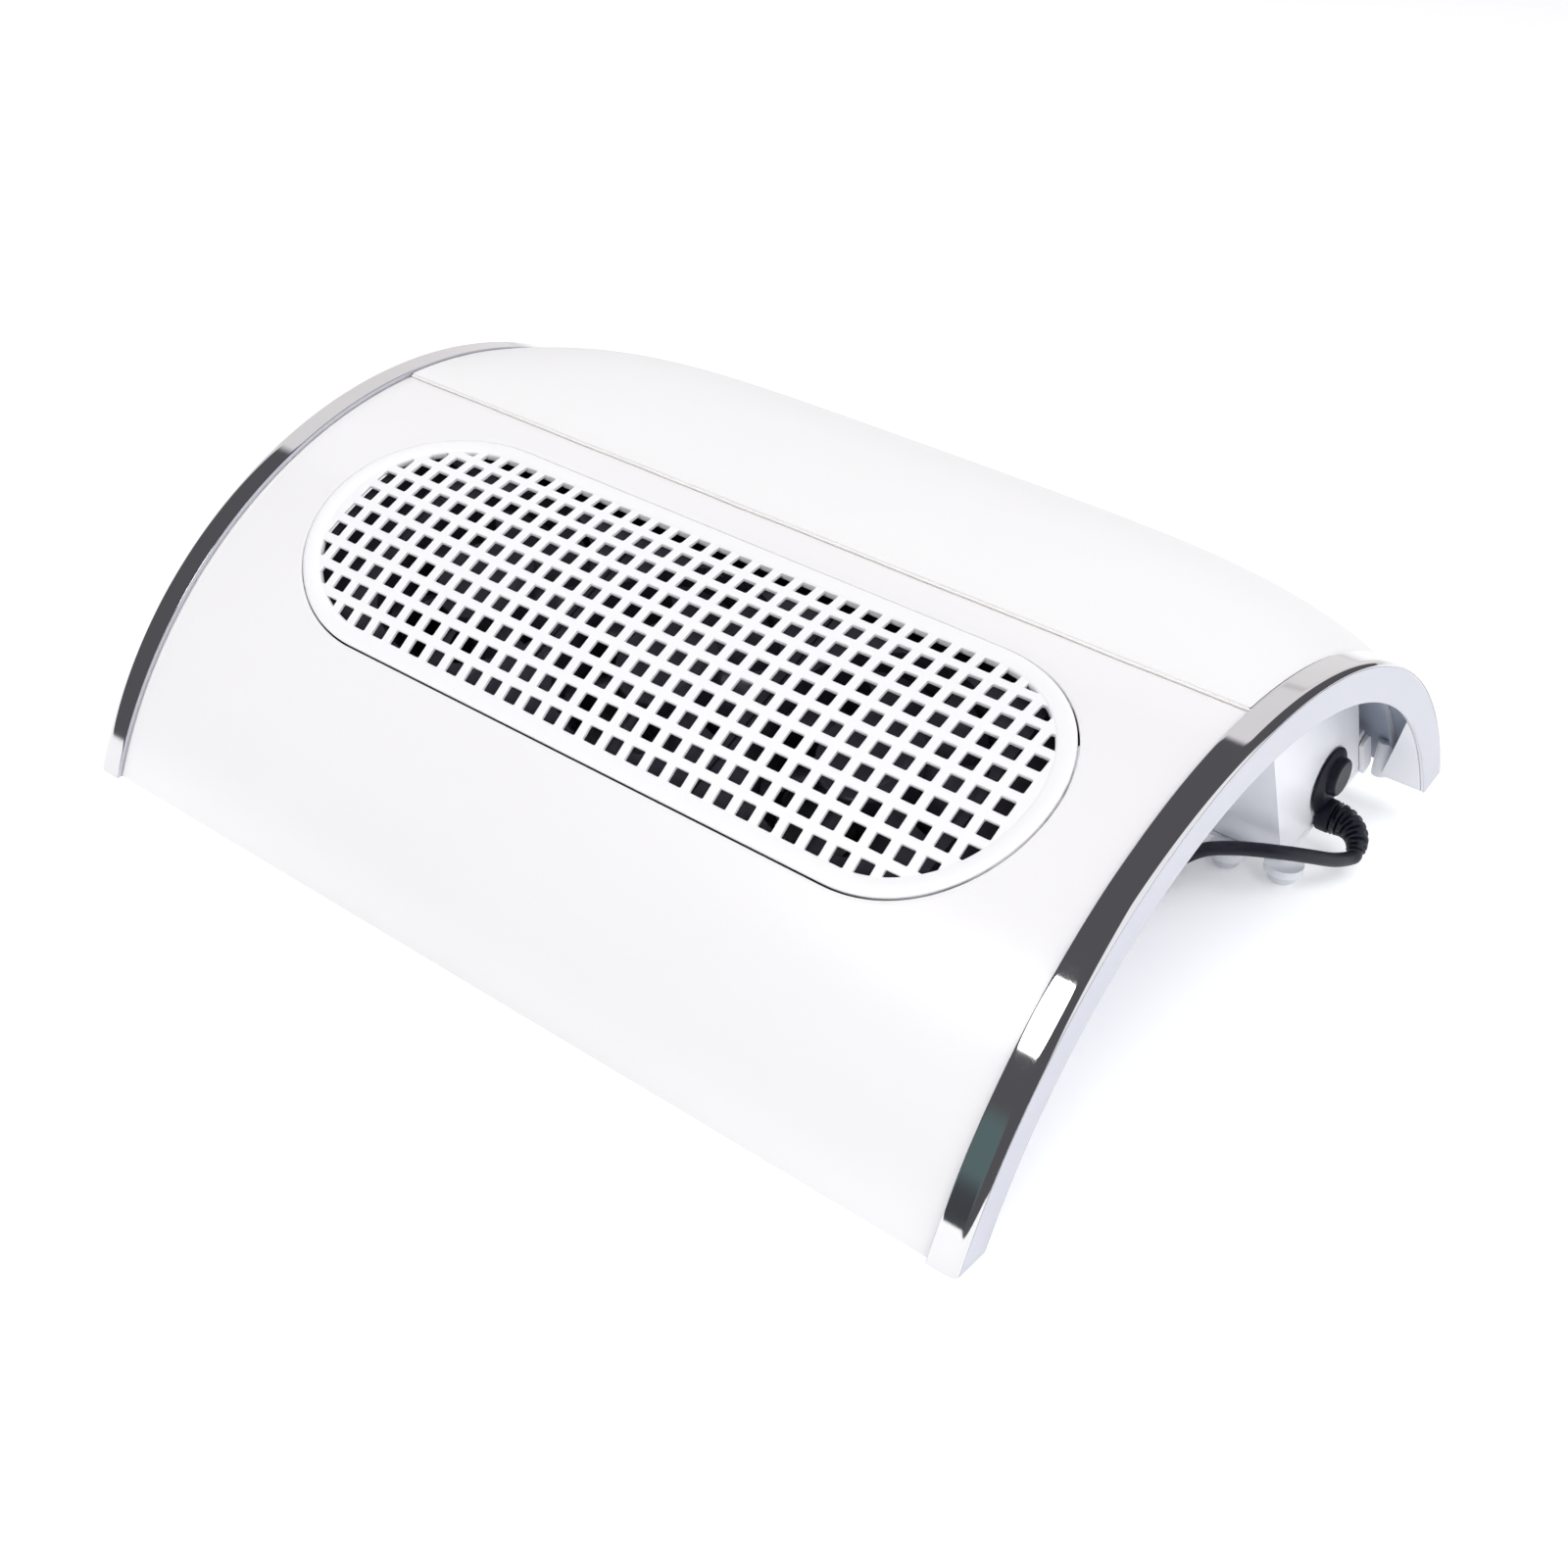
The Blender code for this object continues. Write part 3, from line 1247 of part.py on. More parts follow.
def smooth_path(points, spacing, fine_reach=0.0):
    """Even steps along a centripetal curve through the points, finer at first, and its length."""
    fine = []
    padded = [2 * points[0] - points[1], *points, 2 * points[-1] - points[-2]]
    for before, first, second, after in zip(padded, padded[1:], padded[2:], padded[3:]):
        knots = [0.0]
        for a, b in ((before, first), (first, second), (second, after)):
            knots.append(knots[-1] + math.sqrt((b - a).length))
        for step in range(12):
            at = knots[1] + (knots[2] - knots[1]) * step / 12
            fine.append(centripetal([before, first, second, after], knots, at))
    fine.append(points[-1])
    travelled = [0.0]
    for a, b in zip(fine, fine[1:]):
        travelled.append(travelled[-1] + (b - a).length)
    length = travelled[-1]
    goals = [0.0]
    while goals[-1] < fine_reach:
        goals.append(goals[-1] + spacing * FINE_SPACING_SHARE)
    count = max(1, round((length - goals[-1]) / spacing))
    last = goals[-1]
    goals += [last + (length - last) * index / count for index in range(1, count)]
    steps = []
    place = 0
    for goal in goals:
        while travelled[place + 1] < goal:
            place += 1
        share = (goal - travelled[place]) / (travelled[place + 1] - travelled[place])
        steps.append(fine[place].lerp(fine[place + 1], share))
    steps.append(points[-1])
    return steps, length


def centripetal(corners, knots, at):
    """One point of a centripetal Catmull-Rom curve, by repeated interpolation."""
    level = list(corners)
    for depth in (1, 2, 3):
        nearer = []
        for index in range(len(level) - 1):
            low = knots[index] if depth < 3 else knots[1]
            high = knots[index + depth] if depth < 3 else knots[2]
            if depth == 2:
                low, high = knots[index], knots[index + 2]
            share = (at - low) / (high - low)
            nearer.append(level[index].lerp(level[index + 1], share))
        level = nearer
    return level[0]


def coil_radius(turns):
    """The coil's radius after some turns: steadily in, and steadily out again."""
    return COIL_INNER_RADIUS + COIL_PITCH * abs(turns - COIL_TURNS / 2)


def coil_path():
    """The coil as one line: in along the lower layer, a climb, and out along the upper layer."""
    points = []
    count = round(COIL_TURNS * COIL_LOOP_POINTS)
    for index in range(count + 1):
        turns = COIL_TURNS * index / count
        radius = coil_radius(turns)
        angle = -2 * math.pi * (turns + COIL_START_TURN_SHARE)
        climb = (turns - COIL_TURNS / 2) / COIL_CLIMB_TURNS + 1 / 2
        height = COIL_FLOOR + COIL_PITCH * min(max(climb, 0.0), 1.0)
        x = COIL_CENTRE_X + radius * math.cos(angle)
        y = COIL_CENTRE_Y + radius * math.sin(angle)
        points.append(Vector((x, y, height)))
    lead_in = points[0] + Vector((COIL_LEAD_IN, 0, 0))
    end = points[-1]
    drop = (end.z - PLUG_BODY_RADIUS) / 2
    tail = []
    for step in range(1, 2 * COIL_TAIL_LEVEL_STEPS + 1):
        sunk = drop * min(max(step - COIL_TAIL_LEVEL_STEPS, 0), 2)
        tail.append(end + Vector((0, COIL_TAIL_STEP * step, -sunk)))
    return [lead_in, *points, *tail]


def least_gap(points, radius, apart):
    """The least clear distance between stretches of a tube that lie some points apart."""
    least = math.inf
    for index, point in enumerate(points):
        for other in points[index + apart :]:
            least = min(least, (point - other).length)
    return least - 2 * radius


def build_cord():
    """The cord's free run, its stored coil with a tie, and the low-voltage plug at its end."""
    route = cord_route()
    run, run_length = smooth_path(route[1:], CORD_SPACING, CORD_VISIBLE_REACH)
    run = [route[0], *run]
    tube("cord_run", run, CORD_RADIUS, "black_rubber")
    coil = coil_path()
    tube("cord_coil", coil, CORD_RADIUS, "black_rubber", resolution=1)
    coil_length = sum((b - a).length for a, b in zip(coil, coil[1:]))
    print("cord run", round(run_length, 4), "coil", round(coil_length, 4))
    print("coil least gap", round(least_gap(coil, CORD_RADIUS, COIL_LOOP_POINTS // 2), 5))
    build_tie(coil)
    build_plug(coil[-1])


def build_tie(coil):
    """A flat tie round the turns, on the side of the coil that faces the unit."""
    near = [
        point
        for point in coil
        if abs(point.y - COIL_CENTRE_Y) < TIE_WIDTH and point.x > COIL_CENTRE_X
    ]
    reach = CORD_RADIUS + FIT_GAP
    low_x = min(point.x for point in near) - reach
    high_x = max(point.x for point in near) + reach
    high_z = max(point.z for point in near) + reach
    low_z = COIL_FLOOR - CORD_RADIUS - FIT_GAP
    half = TIE_WIDTH / 2
    tie = box(
        "coil_tie",
        (low_x - TIE_WALL, COIL_CENTRE_Y - half, low_z - TIE_WALL),
        (high_x + TIE_WALL, COIL_CENTRE_Y + half, high_z + TIE_WALL),
        "black_rubber",
    )
    hollow = box(
        "tie hollow",
        (low_x, COIL_CENTRE_Y - half - CUT_OVERRUN, low_z),
        (high_x, COIL_CENTRE_Y + half + CUT_OVERRUN, high_z),
    )
    cut(tie, hollow)


def build_plug(end):
    """The plug: a moulded grip behind a hollow metal barrel, lying on the table."""
    at = end + Vector((0, FIT_GAP, 0))
    neck_end = at + Vector((0, PLUG_NECK_LENGTH, 0))
    body_end = neck_end + Vector((0, PLUG_BODY_LENGTH, 0))
    body = cylinder(
        "plug_body", PLUG_BODY_RADIUS, neck_end, body_end, "black_plastic", sides=20
    )
    neck = cylinder(
        "plug neck",
        PLUG_NECK_RADIUS,
        at,
        neck_end + Vector((0, FIT_GAP, 0)),
        sides=16,
        end_radius=PLUG_NECK_RADIUS + PLUG_BORE_RADIUS,
    )
    join(body, neck)
    barrel_start = body_end + Vector((0, FIT_GAP, 0))
    barrel_end = barrel_start + Vector((0, PLUG_BARREL_LENGTH, 0))
    barrel = cylinder(
        "plug_barrel", PLUG_BARREL_RADIUS, barrel_start, barrel_end, "steel", sides=16
    )
    bore = cylinder(
        "barrel bore",
        PLUG_BORE_RADIUS,
        barrel_start + Vector((0, PLUG_BORE_RADIUS, 0)),
        barrel_end + Vector((0, CUT_OVERRUN, 0)),
        sides=12,
    )
    cut(barrel, bore)


def build_leads():
    """The inner wiring: a lead from each fan to the switch, and one from the gland to the switch."""
    back = -WALL_X - FIT_GAP + SWITCH_BODY_DEPTH + SWITCH_TERMINAL_REACH
    on_deck = DECK_TOP_DEPTH - 2 * LEAD_RADIUS
    beside = FAN_SIDE / 2 + FIT_GAP + LEAD_RADIUS
    last_u = DECK_REAR_U - LEAD_RADIUS
    inner = FAN_BOX_HALF_WIDTH - HOUSING_WALL - LEAD_SIDE_GAP
    for index, (name, x) in enumerate(fan_places()):
        lane = beside + LEAD_SPACING * (index + 1)
        shift = LEAD_SIDE_GAP * index
        end = Vector((back + FIT_GAP, SWITCH_Y, SWITCH_Z + 2 * LEAD_SIDE_GAP - shift))
        route = [
            tilted(x, FAN_SIDE / 2 + FIT_GAP, on_deck),
            tilted(x, lane - LEAD_SPACING / 2, on_deck),
            tilted(x - LEAD_SPACING, lane, on_deck),
            tilted(shift - inner + 2 * LEAD_SPACING, lane, on_deck),
            tilted(shift - inner + LEAD_SPACING, lane + LEAD_SPACING, on_deck),
            tilted(shift - inner + LEAD_SPACING, last_u, on_deck),
            tilted(shift - inner + LEAD_SPACING, last_u + 2 * LEAD_SPACING, on_deck + LEAD_SPACING),
            end + Vector((3 * LEAD_SPACING + shift, 0, 2 * LEAD_SPACING)),
            end + Vector((LEAD_SPACING, 0, 0)),
            end,
        ]
        points, _ = smooth_path(route[1:], 2 * LEAD_SPACING)
        points = [route[0], *points]
        tube(f"fan_lead_{name}", points, LEAD_RADIUS, "black_rubber", resolution=1)
    start = Vector((WALL_X - NECK_LENGTH - FIT_GAP, FLANGE_Y, FLANGE_Z))
    end = Vector((back + FIT_GAP, SWITCH_Y, SWITCH_Z - LEAD_SIDE_GAP))
    floor = cover_line(FLANGE_Y + LEAD_RADIUS, COVER_TOP_Z) + 2 * LEAD_RADIUS
    route = [start, start - Vector((LEAD_SPACING, 0, 0))]
    for steps in (4, 6, 10):
        route.append(Vector((start.x - steps * LEAD_SPACING, FLANGE_Y, floor)))
    for steps in (10, 6, 4):
        route.append(Vector((end.x + steps * LEAD_SPACING, FLANGE_Y, floor)))
    route += [end + Vector((LEAD_SPACING, 0, 0)), end]
    points, _ = smooth_path(route, 2 * LEAD_SPACING)
    tube("supply_lead", points, LEAD_RADIUS, "black_rubber", resolution=1)


def main():
    """Build every part in the order in which the unit goes together."""
    build_shell()
    build_trims()
    build_grille()
    build_cushion()
    build_housing()
    build_bottom_cover()
    build_deck()
    for name, x in fan_places():
        build_fan(name, x)
    build_bag_frame()
    build_switch()
    build_cord_entry()
    build_cord()
    build_leads()


clear_scene()
PARTS = new_collection("nail_dust_collector")
CUTTERS = new_collection("cutters")
MATERIALS = make_materials()
main()
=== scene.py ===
"""Looks of the nail dust collector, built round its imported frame.

Everything is in metres, in the frame's own axes: +Z up, -Y towards the user, the origin under the
middle of the unit. Each sub-assembly is a class that holds its sizes and builds its own pieces.
"""

from __future__ import annotations

import logging
import math
from dataclasses import dataclass, field
from enum import Enum
from typing import Any, Sequence

import bmesh
import bpy
import numpy as np
from mathutils import Matrix, Vector


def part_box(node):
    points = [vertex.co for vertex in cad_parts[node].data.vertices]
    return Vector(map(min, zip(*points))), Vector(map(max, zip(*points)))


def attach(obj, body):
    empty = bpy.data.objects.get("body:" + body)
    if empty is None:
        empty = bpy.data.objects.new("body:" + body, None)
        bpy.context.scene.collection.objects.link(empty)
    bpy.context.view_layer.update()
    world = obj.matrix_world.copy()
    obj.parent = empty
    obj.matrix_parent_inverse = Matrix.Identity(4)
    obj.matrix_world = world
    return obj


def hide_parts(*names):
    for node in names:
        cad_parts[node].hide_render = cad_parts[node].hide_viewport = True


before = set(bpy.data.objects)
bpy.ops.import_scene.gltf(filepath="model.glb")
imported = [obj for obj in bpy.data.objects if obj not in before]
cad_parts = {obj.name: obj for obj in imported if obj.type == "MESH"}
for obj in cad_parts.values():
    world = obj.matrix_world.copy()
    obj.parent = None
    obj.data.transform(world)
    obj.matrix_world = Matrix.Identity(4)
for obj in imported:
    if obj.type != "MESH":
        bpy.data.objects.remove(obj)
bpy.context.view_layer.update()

LOG = logging.getLogger("nail_dust_collector")
MM = 0.001
WELD = 0.002 * MM
SLIVER = 0.001 * MM
FLAT_DEGREES = 0.5
COPY_EDGE_DEGREES = 30.0
SHELL_CREASE = 28.0
CREASE = 40.0
SOFT_CREASE = 60.0
FAN_PITCH = 60.6 * MM
LIGHT_AIM = Vector((0.0, 0.0, 50 * MM))
CORNER_SIGNS = ((1, 1), (-1, 1), (-1, -1), (1, -1))
Array = np.ndarray
CornerLine = Sequence[tuple[float, float]]


class Body(str, Enum):
    """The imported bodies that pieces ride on."""

    UNIT = "unit"
    ROCKER = "rocker"
    BAG_FRAME = "bag_frame"


class Slot(str, Enum):
    """The record's material slots."""

    SHELL = "shell"
    TRIM = "trim"
    CUSHION = "cushion"
    GRILLE = "grille"
    HOUSING = "housing"
    BLACK_PLASTIC = "black_plastic"
    BLACK_RUBBER = "black_rubber"
    STEEL = "steel"
    ROCKER = "rocker"


# Shader maths


class Channel:
    """A shader socket that adds Math nodes when Python operators are used on it."""

    def __init__(self, graph: Graph, socket: bpy.types.NodeSocket) -> None:
        """Wrap a node's output socket."""
        self.graph = graph
        self.socket = socket

    def _math(self, operation: str, first: Any, second: Any) -> Channel:
        """Add one Math node between two values."""
        node = self.graph.node(
            "ShaderNodeMath", {"operation": operation}, {0: first, 1: second}
        )
        return Channel(self.graph, node.outputs[0])

    def __add__(self, other: Any) -> Channel:
        """Sum."""
        return self._math("ADD", self, other)

    def __mul__(self, other: Any) -> Channel:
        """Product."""
        return self._math("MULTIPLY", self, other)

    def __pow__(self, other: Any) -> Channel:
        """Power."""
        return self._math("POWER", self, other)


class Graph:
    """The node tree of one material, or of the surroundings."""

    def __init__(self, owner: bpy.types.Material | bpy.types.World) -> None:
        """Take the owner's new tree, which holds its shader and its output."""
        self.owner = owner
        owner.use_nodes = True
        self.tree = owner.node_tree
        main = "Background" if isinstance(owner, bpy.types.World) else "Principled BSDF"
        self.shader = self.tree.nodes[main]

    def node(self, kind: str, settings: dict[str, Any], sockets: dict[Any, Any]) -> bpy.types.Node:
        """Add a node.

        Args:
            kind: the node's type name.
            settings: its own properties, set before its sockets.
            sockets: a value or a Channel for each input, by name or number.

        Returns:
            The new node.
        """
        node = self.tree.nodes.new(kind)
        for key, value in settings.items():
            setattr(node, key, value)
        for key, value in sockets.items():
            self.feed(node.inputs[key], value)
        return node

    def feed(self, socket: bpy.types.NodeSocket, value: Any) -> None:
        """Link a Channel to an input, or set the input's own value."""
        if isinstance(value, Channel):
            self.tree.links.new(value.socket, socket)
        else:
            socket.default_value = value

    def place(self) -> Channel:
        """The surface's place in Object coordinates."""
        node = self.node("ShaderNodeTexCoord", {}, {})
        return Channel(self, node.outputs["Object"])

    def noise(self, size: float, detail: float = 2.0) -> Channel:
        """Smooth noise from 0 to 1, with blotches of a width in metres and some finer layers."""
        node = self.node(
            "ShaderNodeTexNoise", {}, {"Vector": self.place(), "Scale": 1 / size, "Detail": detail}
        )
        return Channel(self, node.outputs["Fac"])

    def cells(self, size: float) -> Channel:
        """Voronoi cells of a width in metres, as the distance to their edges."""
        node = self.node(
            "ShaderNodeTexVoronoi",
            {"feature": "DISTANCE_TO_EDGE"},
            {"Vector": self.place(), "Scale": 1 / size},
        )
        return Channel(self, node.outputs["Distance"])

    def blend(self, share: Channel, first: Any, second: Any) -> Channel:
        """A colour between two, each a Channel or three numbers, by a share from 0 to 1."""
        ends = [end if isinstance(end, Channel) else (*end, 1.0) for end in (first, second)]
        node = self.node(
            "ShaderNodeMix", {"data_type": "RGBA"}, {"Factor": share, 6: ends[0], 7: ends[1]}
        )
        return Channel(self, node.outputs[2])

    def dot(self, direction: Channel, towards: Sequence[float]) -> Channel:
        """The cosine between a direction and a fixed one."""
        node = self.node(
            "ShaderNodeVectorMath",
            {"operation": "DOT_PRODUCT"},
            {0: direction, 1: Vector(towards).normalized()},
        )
        return Channel(self, node.outputs["Value"])

    def step(self, value: Channel, low: float, high: float) -> Channel:
        """A smooth step of a value, from 0 at its low end to 1 at its high end."""
        node = self.node(
            "ShaderNodeMapRange",
            {"interpolation_type": "SMOOTHSTEP"},
            {"Value": value, "From Min": low, "From Max": high},
        )
        return Channel(self, node.outputs["Result"])

    def bump(self, height: Channel, depth: float, strength: float, below: Any = None) -> Channel:
        """Turn a height from 0 to 1 into a normal.

        Args:
            height: the pattern.
            depth: how far the pattern rises, in metres.
            strength: how much of it shows.
            below: another bump that this one is added to.

        Returns:
            The normal.
        """
        sockets = {"Height": height, "Distance": depth, "Strength": strength}
        if below is not None:
            sockets["Normal"] = below
        node = self.node("ShaderNodeBump", {}, sockets)
        return Channel(self, node.outputs["Normal"])


@dataclass(frozen=True)
class Finish:
    """A surface's colour, gloss, grain and the faint unevenness of a real one."""

    name: str
    colour: tuple[float, float, float]
    tint: tuple[float, float, float]
    roughness: float
    spread: float = 0.04
    blotch: float = 25 * MM
    metallic: float = 0.0
    coat: float = 0.0
    specular: float = 0.5
    grain: float = 0.6 * MM
    grain_depth: float = 0.02 * MM
    grain_strength: float = 0.15
    coat_roughness: float = 0.05

    def material(self) -> bpy.types.Material:
        """Build the material: blotches vary its colour and gloss, and a fine grain its normal."""
        graph = Graph(bpy.data.materials.new(self.name))
        blotches = graph.noise(self.blotch)
        shader = graph.shader.inputs
        graph.feed(shader["Base Color"], graph.blend(blotches, self.colour, self.tint))
        low = self.roughness - self.spread / 2
        graph.feed(shader["Roughness"], self.wear(graph, blotches) * self.spread + low)
        shader["Metallic"].default_value = self.metallic
        shader["Specular IOR Level"].default_value = self.specular
        shader["Coat Weight"].default_value = self.coat
        shader["Coat Roughness"].default_value = self.coat_roughness
        graph.feed(shader["Normal"], self.relief(graph))
        graph.owner.diffuse_color = (*self.colour, 1.0)
        return graph.owner

    def wear(self, graph: Graph, blotches: Channel) -> Channel:
        """What varies the gloss, from 0 to 1."""
        return blotches

    def relief(self, graph: Graph) -> Channel:
        """The surface's fine relief."""
        return graph.bump(graph.noise(self.grain), self.grain_depth, self.grain_strength)


@dataclass(frozen=True)
class Plating(Finish):
    """Bright plating with faint long ripples and a dusting of fine specks."""

    ripple: float = 30 * MM
    ripple_depth: float = 0.05 * MM
    ripple_strength: float = 0.35
    speck: float = 1.2 * MM
    speck_detail: float = 3.0
    speck_power: float = 6.0
    speck_gain: float = 4.0

    def wear(self, graph: Graph, blotches: Channel) -> Channel:
        """Fine specks where handling has dulled the plating."""
        specks = graph.noise(self.speck, self.speck_detail)
        return blotches * 0.5 + (specks**self.speck_power) * self.speck_gain

    def relief(self, graph: Graph) -> Channel:
        """Long ripples of a plated moulding under a very fine grain."""
        waves = graph.noise(self.ripple, 1.0)
        ripples = graph.bump(waves, self.ripple_depth, self.ripple_strength)
        return graph.bump(
            graph.noise(self.grain), self.grain_depth, self.grain_strength, below=ripples
        )


@dataclass(frozen=True)
class Leather(Finish):
    """Artificial leather: shallow pebbles between fine creases, and soft dents."""

    pebble: float = 0.9 * MM
    flattening: float = 0.5
    dent: float = 18 * MM
    dent_depth: float = 0.25 * MM
    dent_strength: float = 0.12

    def relief(self, graph: Graph) -> Channel:
        """Pebbles, flattened on top, over slow dents."""
        dents = graph.bump(graph.noise(self.dent, 1.0), self.dent_depth, self.dent_strength)
        pebbles = graph.cells(self.pebble) ** self.flattening
        return graph.bump(pebbles, self.grain_depth, self.grain_strength, below=dents)


@dataclass(frozen=True)
class Winding(Finish):
    """Enamelled wire laid in turns."""

    wire: float = 0.5 * MM
    wander: float = 0.4
    wire_strength: float = 0.8

    def relief(self, graph: Graph) -> Channel:
        """Round wires side by side."""
        node = graph.node(
            "ShaderNodeTexWave",
            {"wave_type": "BANDS", "bands_direction": "Z"},
            {"Vector": graph.place(), "Scale": 1 / (20 * self.wire), "Distortion": self.wander},
        )
        return graph.bump(Channel(graph, node.outputs["Fac"]), self.wire, self.wire_strength)


SHELL_GLOSS = Finish(
    "glossy_white_shell", (0.85, 0.838, 0.843), (0.865, 0.853, 0.858), 0.24, 0.03, 60 * MM,
    coat=0.12, grain=9 * MM, grain_depth=0.02 * MM, grain_strength=0.10,
)
# Painted shade: a dark blue-grey for the shell's inner faces, standing in for the shade under the
# arch.
SHELL_PAINTED_SHADE = Finish(
    "shell_inside_painted_shade", (0.30, 0.335, 0.42), (0.34, 0.375, 0.46), 0.55, 0.08, 20 * MM,
    specular=0.35, grain=0.6 * MM,
)
GRILLE_SATIN = Finish(
    "satin_white_grille", (0.88, 0.875, 0.885), (0.90, 0.895, 0.905), 0.30, 0.05, 30 * MM,
    grain=0.5 * MM, grain_depth=0.012 * MM,
)
HOUSING_SATIN = Finish(
    "satin_white_housing", (0.85, 0.865, 0.90), (0.88, 0.89, 0.92), 0.33, 0.06, 22 * MM,
    grain=0.45 * MM, grain_depth=0.02 * MM, grain_strength=0.2,
)
CHROME = Plating(
    "bright_trim_plating", (0.71, 0.705, 0.71), (0.66, 0.655, 0.665), 0.055, 0.05, 14 * MM,
    metallic=1.0, grain=0.9 * MM, grain_depth=0.004 * MM, grain_strength=0.08,
)
TRIM_SATIN = Finish(
    "satin_trim_side", (0.52, 0.53, 0.585), (0.57, 0.58, 0.635), 0.36, 0.06, 16 * MM,
    metallic=0.7, grain=0.5 * MM, grain_depth=0.01 * MM,
)
CUSHION_LEATHER = Leather(
    "white_leather", (0.875, 0.866, 0.868), (0.89, 0.881, 0.883), 0.42, 0.08, 35 * MM,
    grain_depth=0.05 * MM, grain_strength=0.10,
)
CUSHION_PIPING = Leather(
    "white_leather_edge", (0.90, 0.88, 0.86), (0.92, 0.90, 0.885), 0.45, 0.08, 12 * MM,
    grain_depth=0.05 * MM, grain_strength=0.15,
)
BLACK_PLASTIC = Finish(
    "black_moulding", (0.007, 0.007, 0.015), (0.012, 0.012, 0.022), 0.44, 0.10, 9 * MM,
    specular=0.2, grain=0.35 * MM, grain_depth=0.02 * MM, grain_strength=0.25,
)
# Painted shade: near-black for the fan deck and the housing's walls under the grille, standing in
# for the shade seen through the holes.
DECK_PAINTED_SHADE = Finish(
    "painted_shade_deck", (0.034, 0.030, 0.042), (0.042, 0.038, 0.050), 0.75, 0.10, 12 * MM,
    specular=0.2, grain=0.5 * MM,
)
FAN_PLASTIC = Finish(
    "fan_moulding", (0.040, 0.038, 0.052), (0.055, 0.053, 0.068), 0.26, 0.10, 12 * MM,
    grain=0.6 * MM, grain_depth=0.02 * MM,
)
BLACK_RUBBER = Finish(
    "cord_rubber", (0.008, 0.008, 0.016), (0.015, 0.015, 0.026), 0.44, 0.10, 7 * MM,
    specular=0.35, grain=0.5 * MM, grain_depth=0.02 * MM, grain_strength=0.2,
)
STEEL = Finish(
    "zinc_steel", (0.60, 0.60, 0.62), (0.48, 0.48, 0.50), 0.26, 0.14, 3 * MM,
    metallic=1.0, grain=0.3 * MM, grain_depth=0.01 * MM, grain_strength=0.3,
)
BRASS = Finish(
    "turned_brass", (0.68, 0.52, 0.26), (0.55, 0.40, 0.18), 0.28, 0.12, 2 * MM,
    metallic=1.0, grain=0.3 * MM, grain_depth=0.01 * MM, grain_strength=0.3,
)
COPPER = Winding(
    "copper_winding", (0.62, 0.26, 0.13), (0.48, 0.18, 0.09), 0.30, 0.10, 3 * MM, metallic=1.0
)
RED_GLOSS = Finish(
    "red_rocker", (0.52, 0.02, 0.02), (0.46, 0.015, 0.015), 0.22, 0.06, 5 * MM,
    coat=0.3, grain=0.5 * MM, grain_depth=0.01 * MM,
)
FOOT_RUBBER = Finish(
    "foot_pad", (0.76, 0.78, 0.82), (0.70, 0.72, 0.76), 0.50, 0.10, 3 * MM,
    grain=0.3 * MM, grain_depth=0.03 * MM, grain_strength=0.3,
)


# Meshes from arrays


@dataclass
class MeshParts:
    """Grids and caps that are gathered into one mesh."""

    vertices: list[Array] = field(default_factory=list)
    faces: list[list[int]] = field(default_factory=list)
    count: int = 0

    def grid(self, points: Array, wrap_rows: bool = False, wrap_columns: bool = False) -> Array:
        """Add a grid of points as quads.

        Args:
            points: places, shaped rows by columns by 3.
            wrap_rows: whether the last row joins the first.
            wrap_columns: whether the last column joins the first.

        Returns:
            The vertices' numbers, shaped rows by columns.
        """
        rows, columns = points.shape[:2]
        numbers = np.arange(rows * columns).reshape(rows, columns) + self.count
        self.vertices.append(points.reshape(-1, 3))
        self.count += rows * columns
        across = np.concatenate([numbers, numbers[:, :1]], axis=1) if wrap_columns else numbers
        both = np.concatenate([across, across[:1]], axis=0) if wrap_rows else across
        quads = np.stack([both[:-1, :-1], both[:-1, 1:], both[1:, 1:], both[1:, :-1]], axis=-1)
        self.faces += quads.reshape(-1, 4).tolist()
        return numbers

    def cap(self, ring: Array) -> None:
        """Close a ring of vertex numbers with one face."""
        self.faces.append([int(number) for number in ring])

    def join(self, first: Array, second: Array, closed: bool = False) -> None:
        """Join two equal rows of vertex numbers with quads."""
        if closed:
            first = np.append(first, first[0])
            second = np.append(second, second[0])
        quads = np.stack([first[:-1], first[1:], second[1:], second[:-1]], axis=-1)
        self.faces += quads.tolist()

    def join_edges(self, upper: Array, lower: Array) -> None:
        """Join the four edges of one grid to those of another."""
        for rim in (np.s_[0], np.s_[-1], np.s_[:, 0], np.s_[:, -1]):
            self.join(upper[rim], lower[rim])

    def tube(self, points: Array) -> None:
        """Add a grid whose columns wrap, and close its first and last row."""
        numbers = self.grid(points, wrap_columns=True)
        self.cap(numbers[0])
        self.cap(numbers[-1])

    def bar(self, points: Array) -> None:
        """Add a grid whose rows wrap, and close its first and last column."""
        numbers = self.grid(points, wrap_rows=True)
        self.cap(numbers[:, 0])
        self.cap(numbers[:, -1])

    def mesh(self, name: str, sharp_degrees: float = 35.0) -> bpy.types.Object:
        """Weld what meets, turn the faces outwards and make the object.

        Args:
            name: the piece's name.
            sharp_degrees: edges that turn more than this stay crisp.

        Returns:
            The new object, at the origin.
        """
        data = bpy.data.meshes.new(name)
        data.from_pydata(np.concatenate(self.vertices).tolist(), [], self.faces)
        return finish_piece(name, data, sharp_degrees)


def add_object(name: str, data: Any) -> bpy.types.Object:
    """Put a new object that shows some data in the scene."""
    made = bpy.data.objects.new(name, data)
    bpy.context.scene.collection.objects.link(made)
    return made


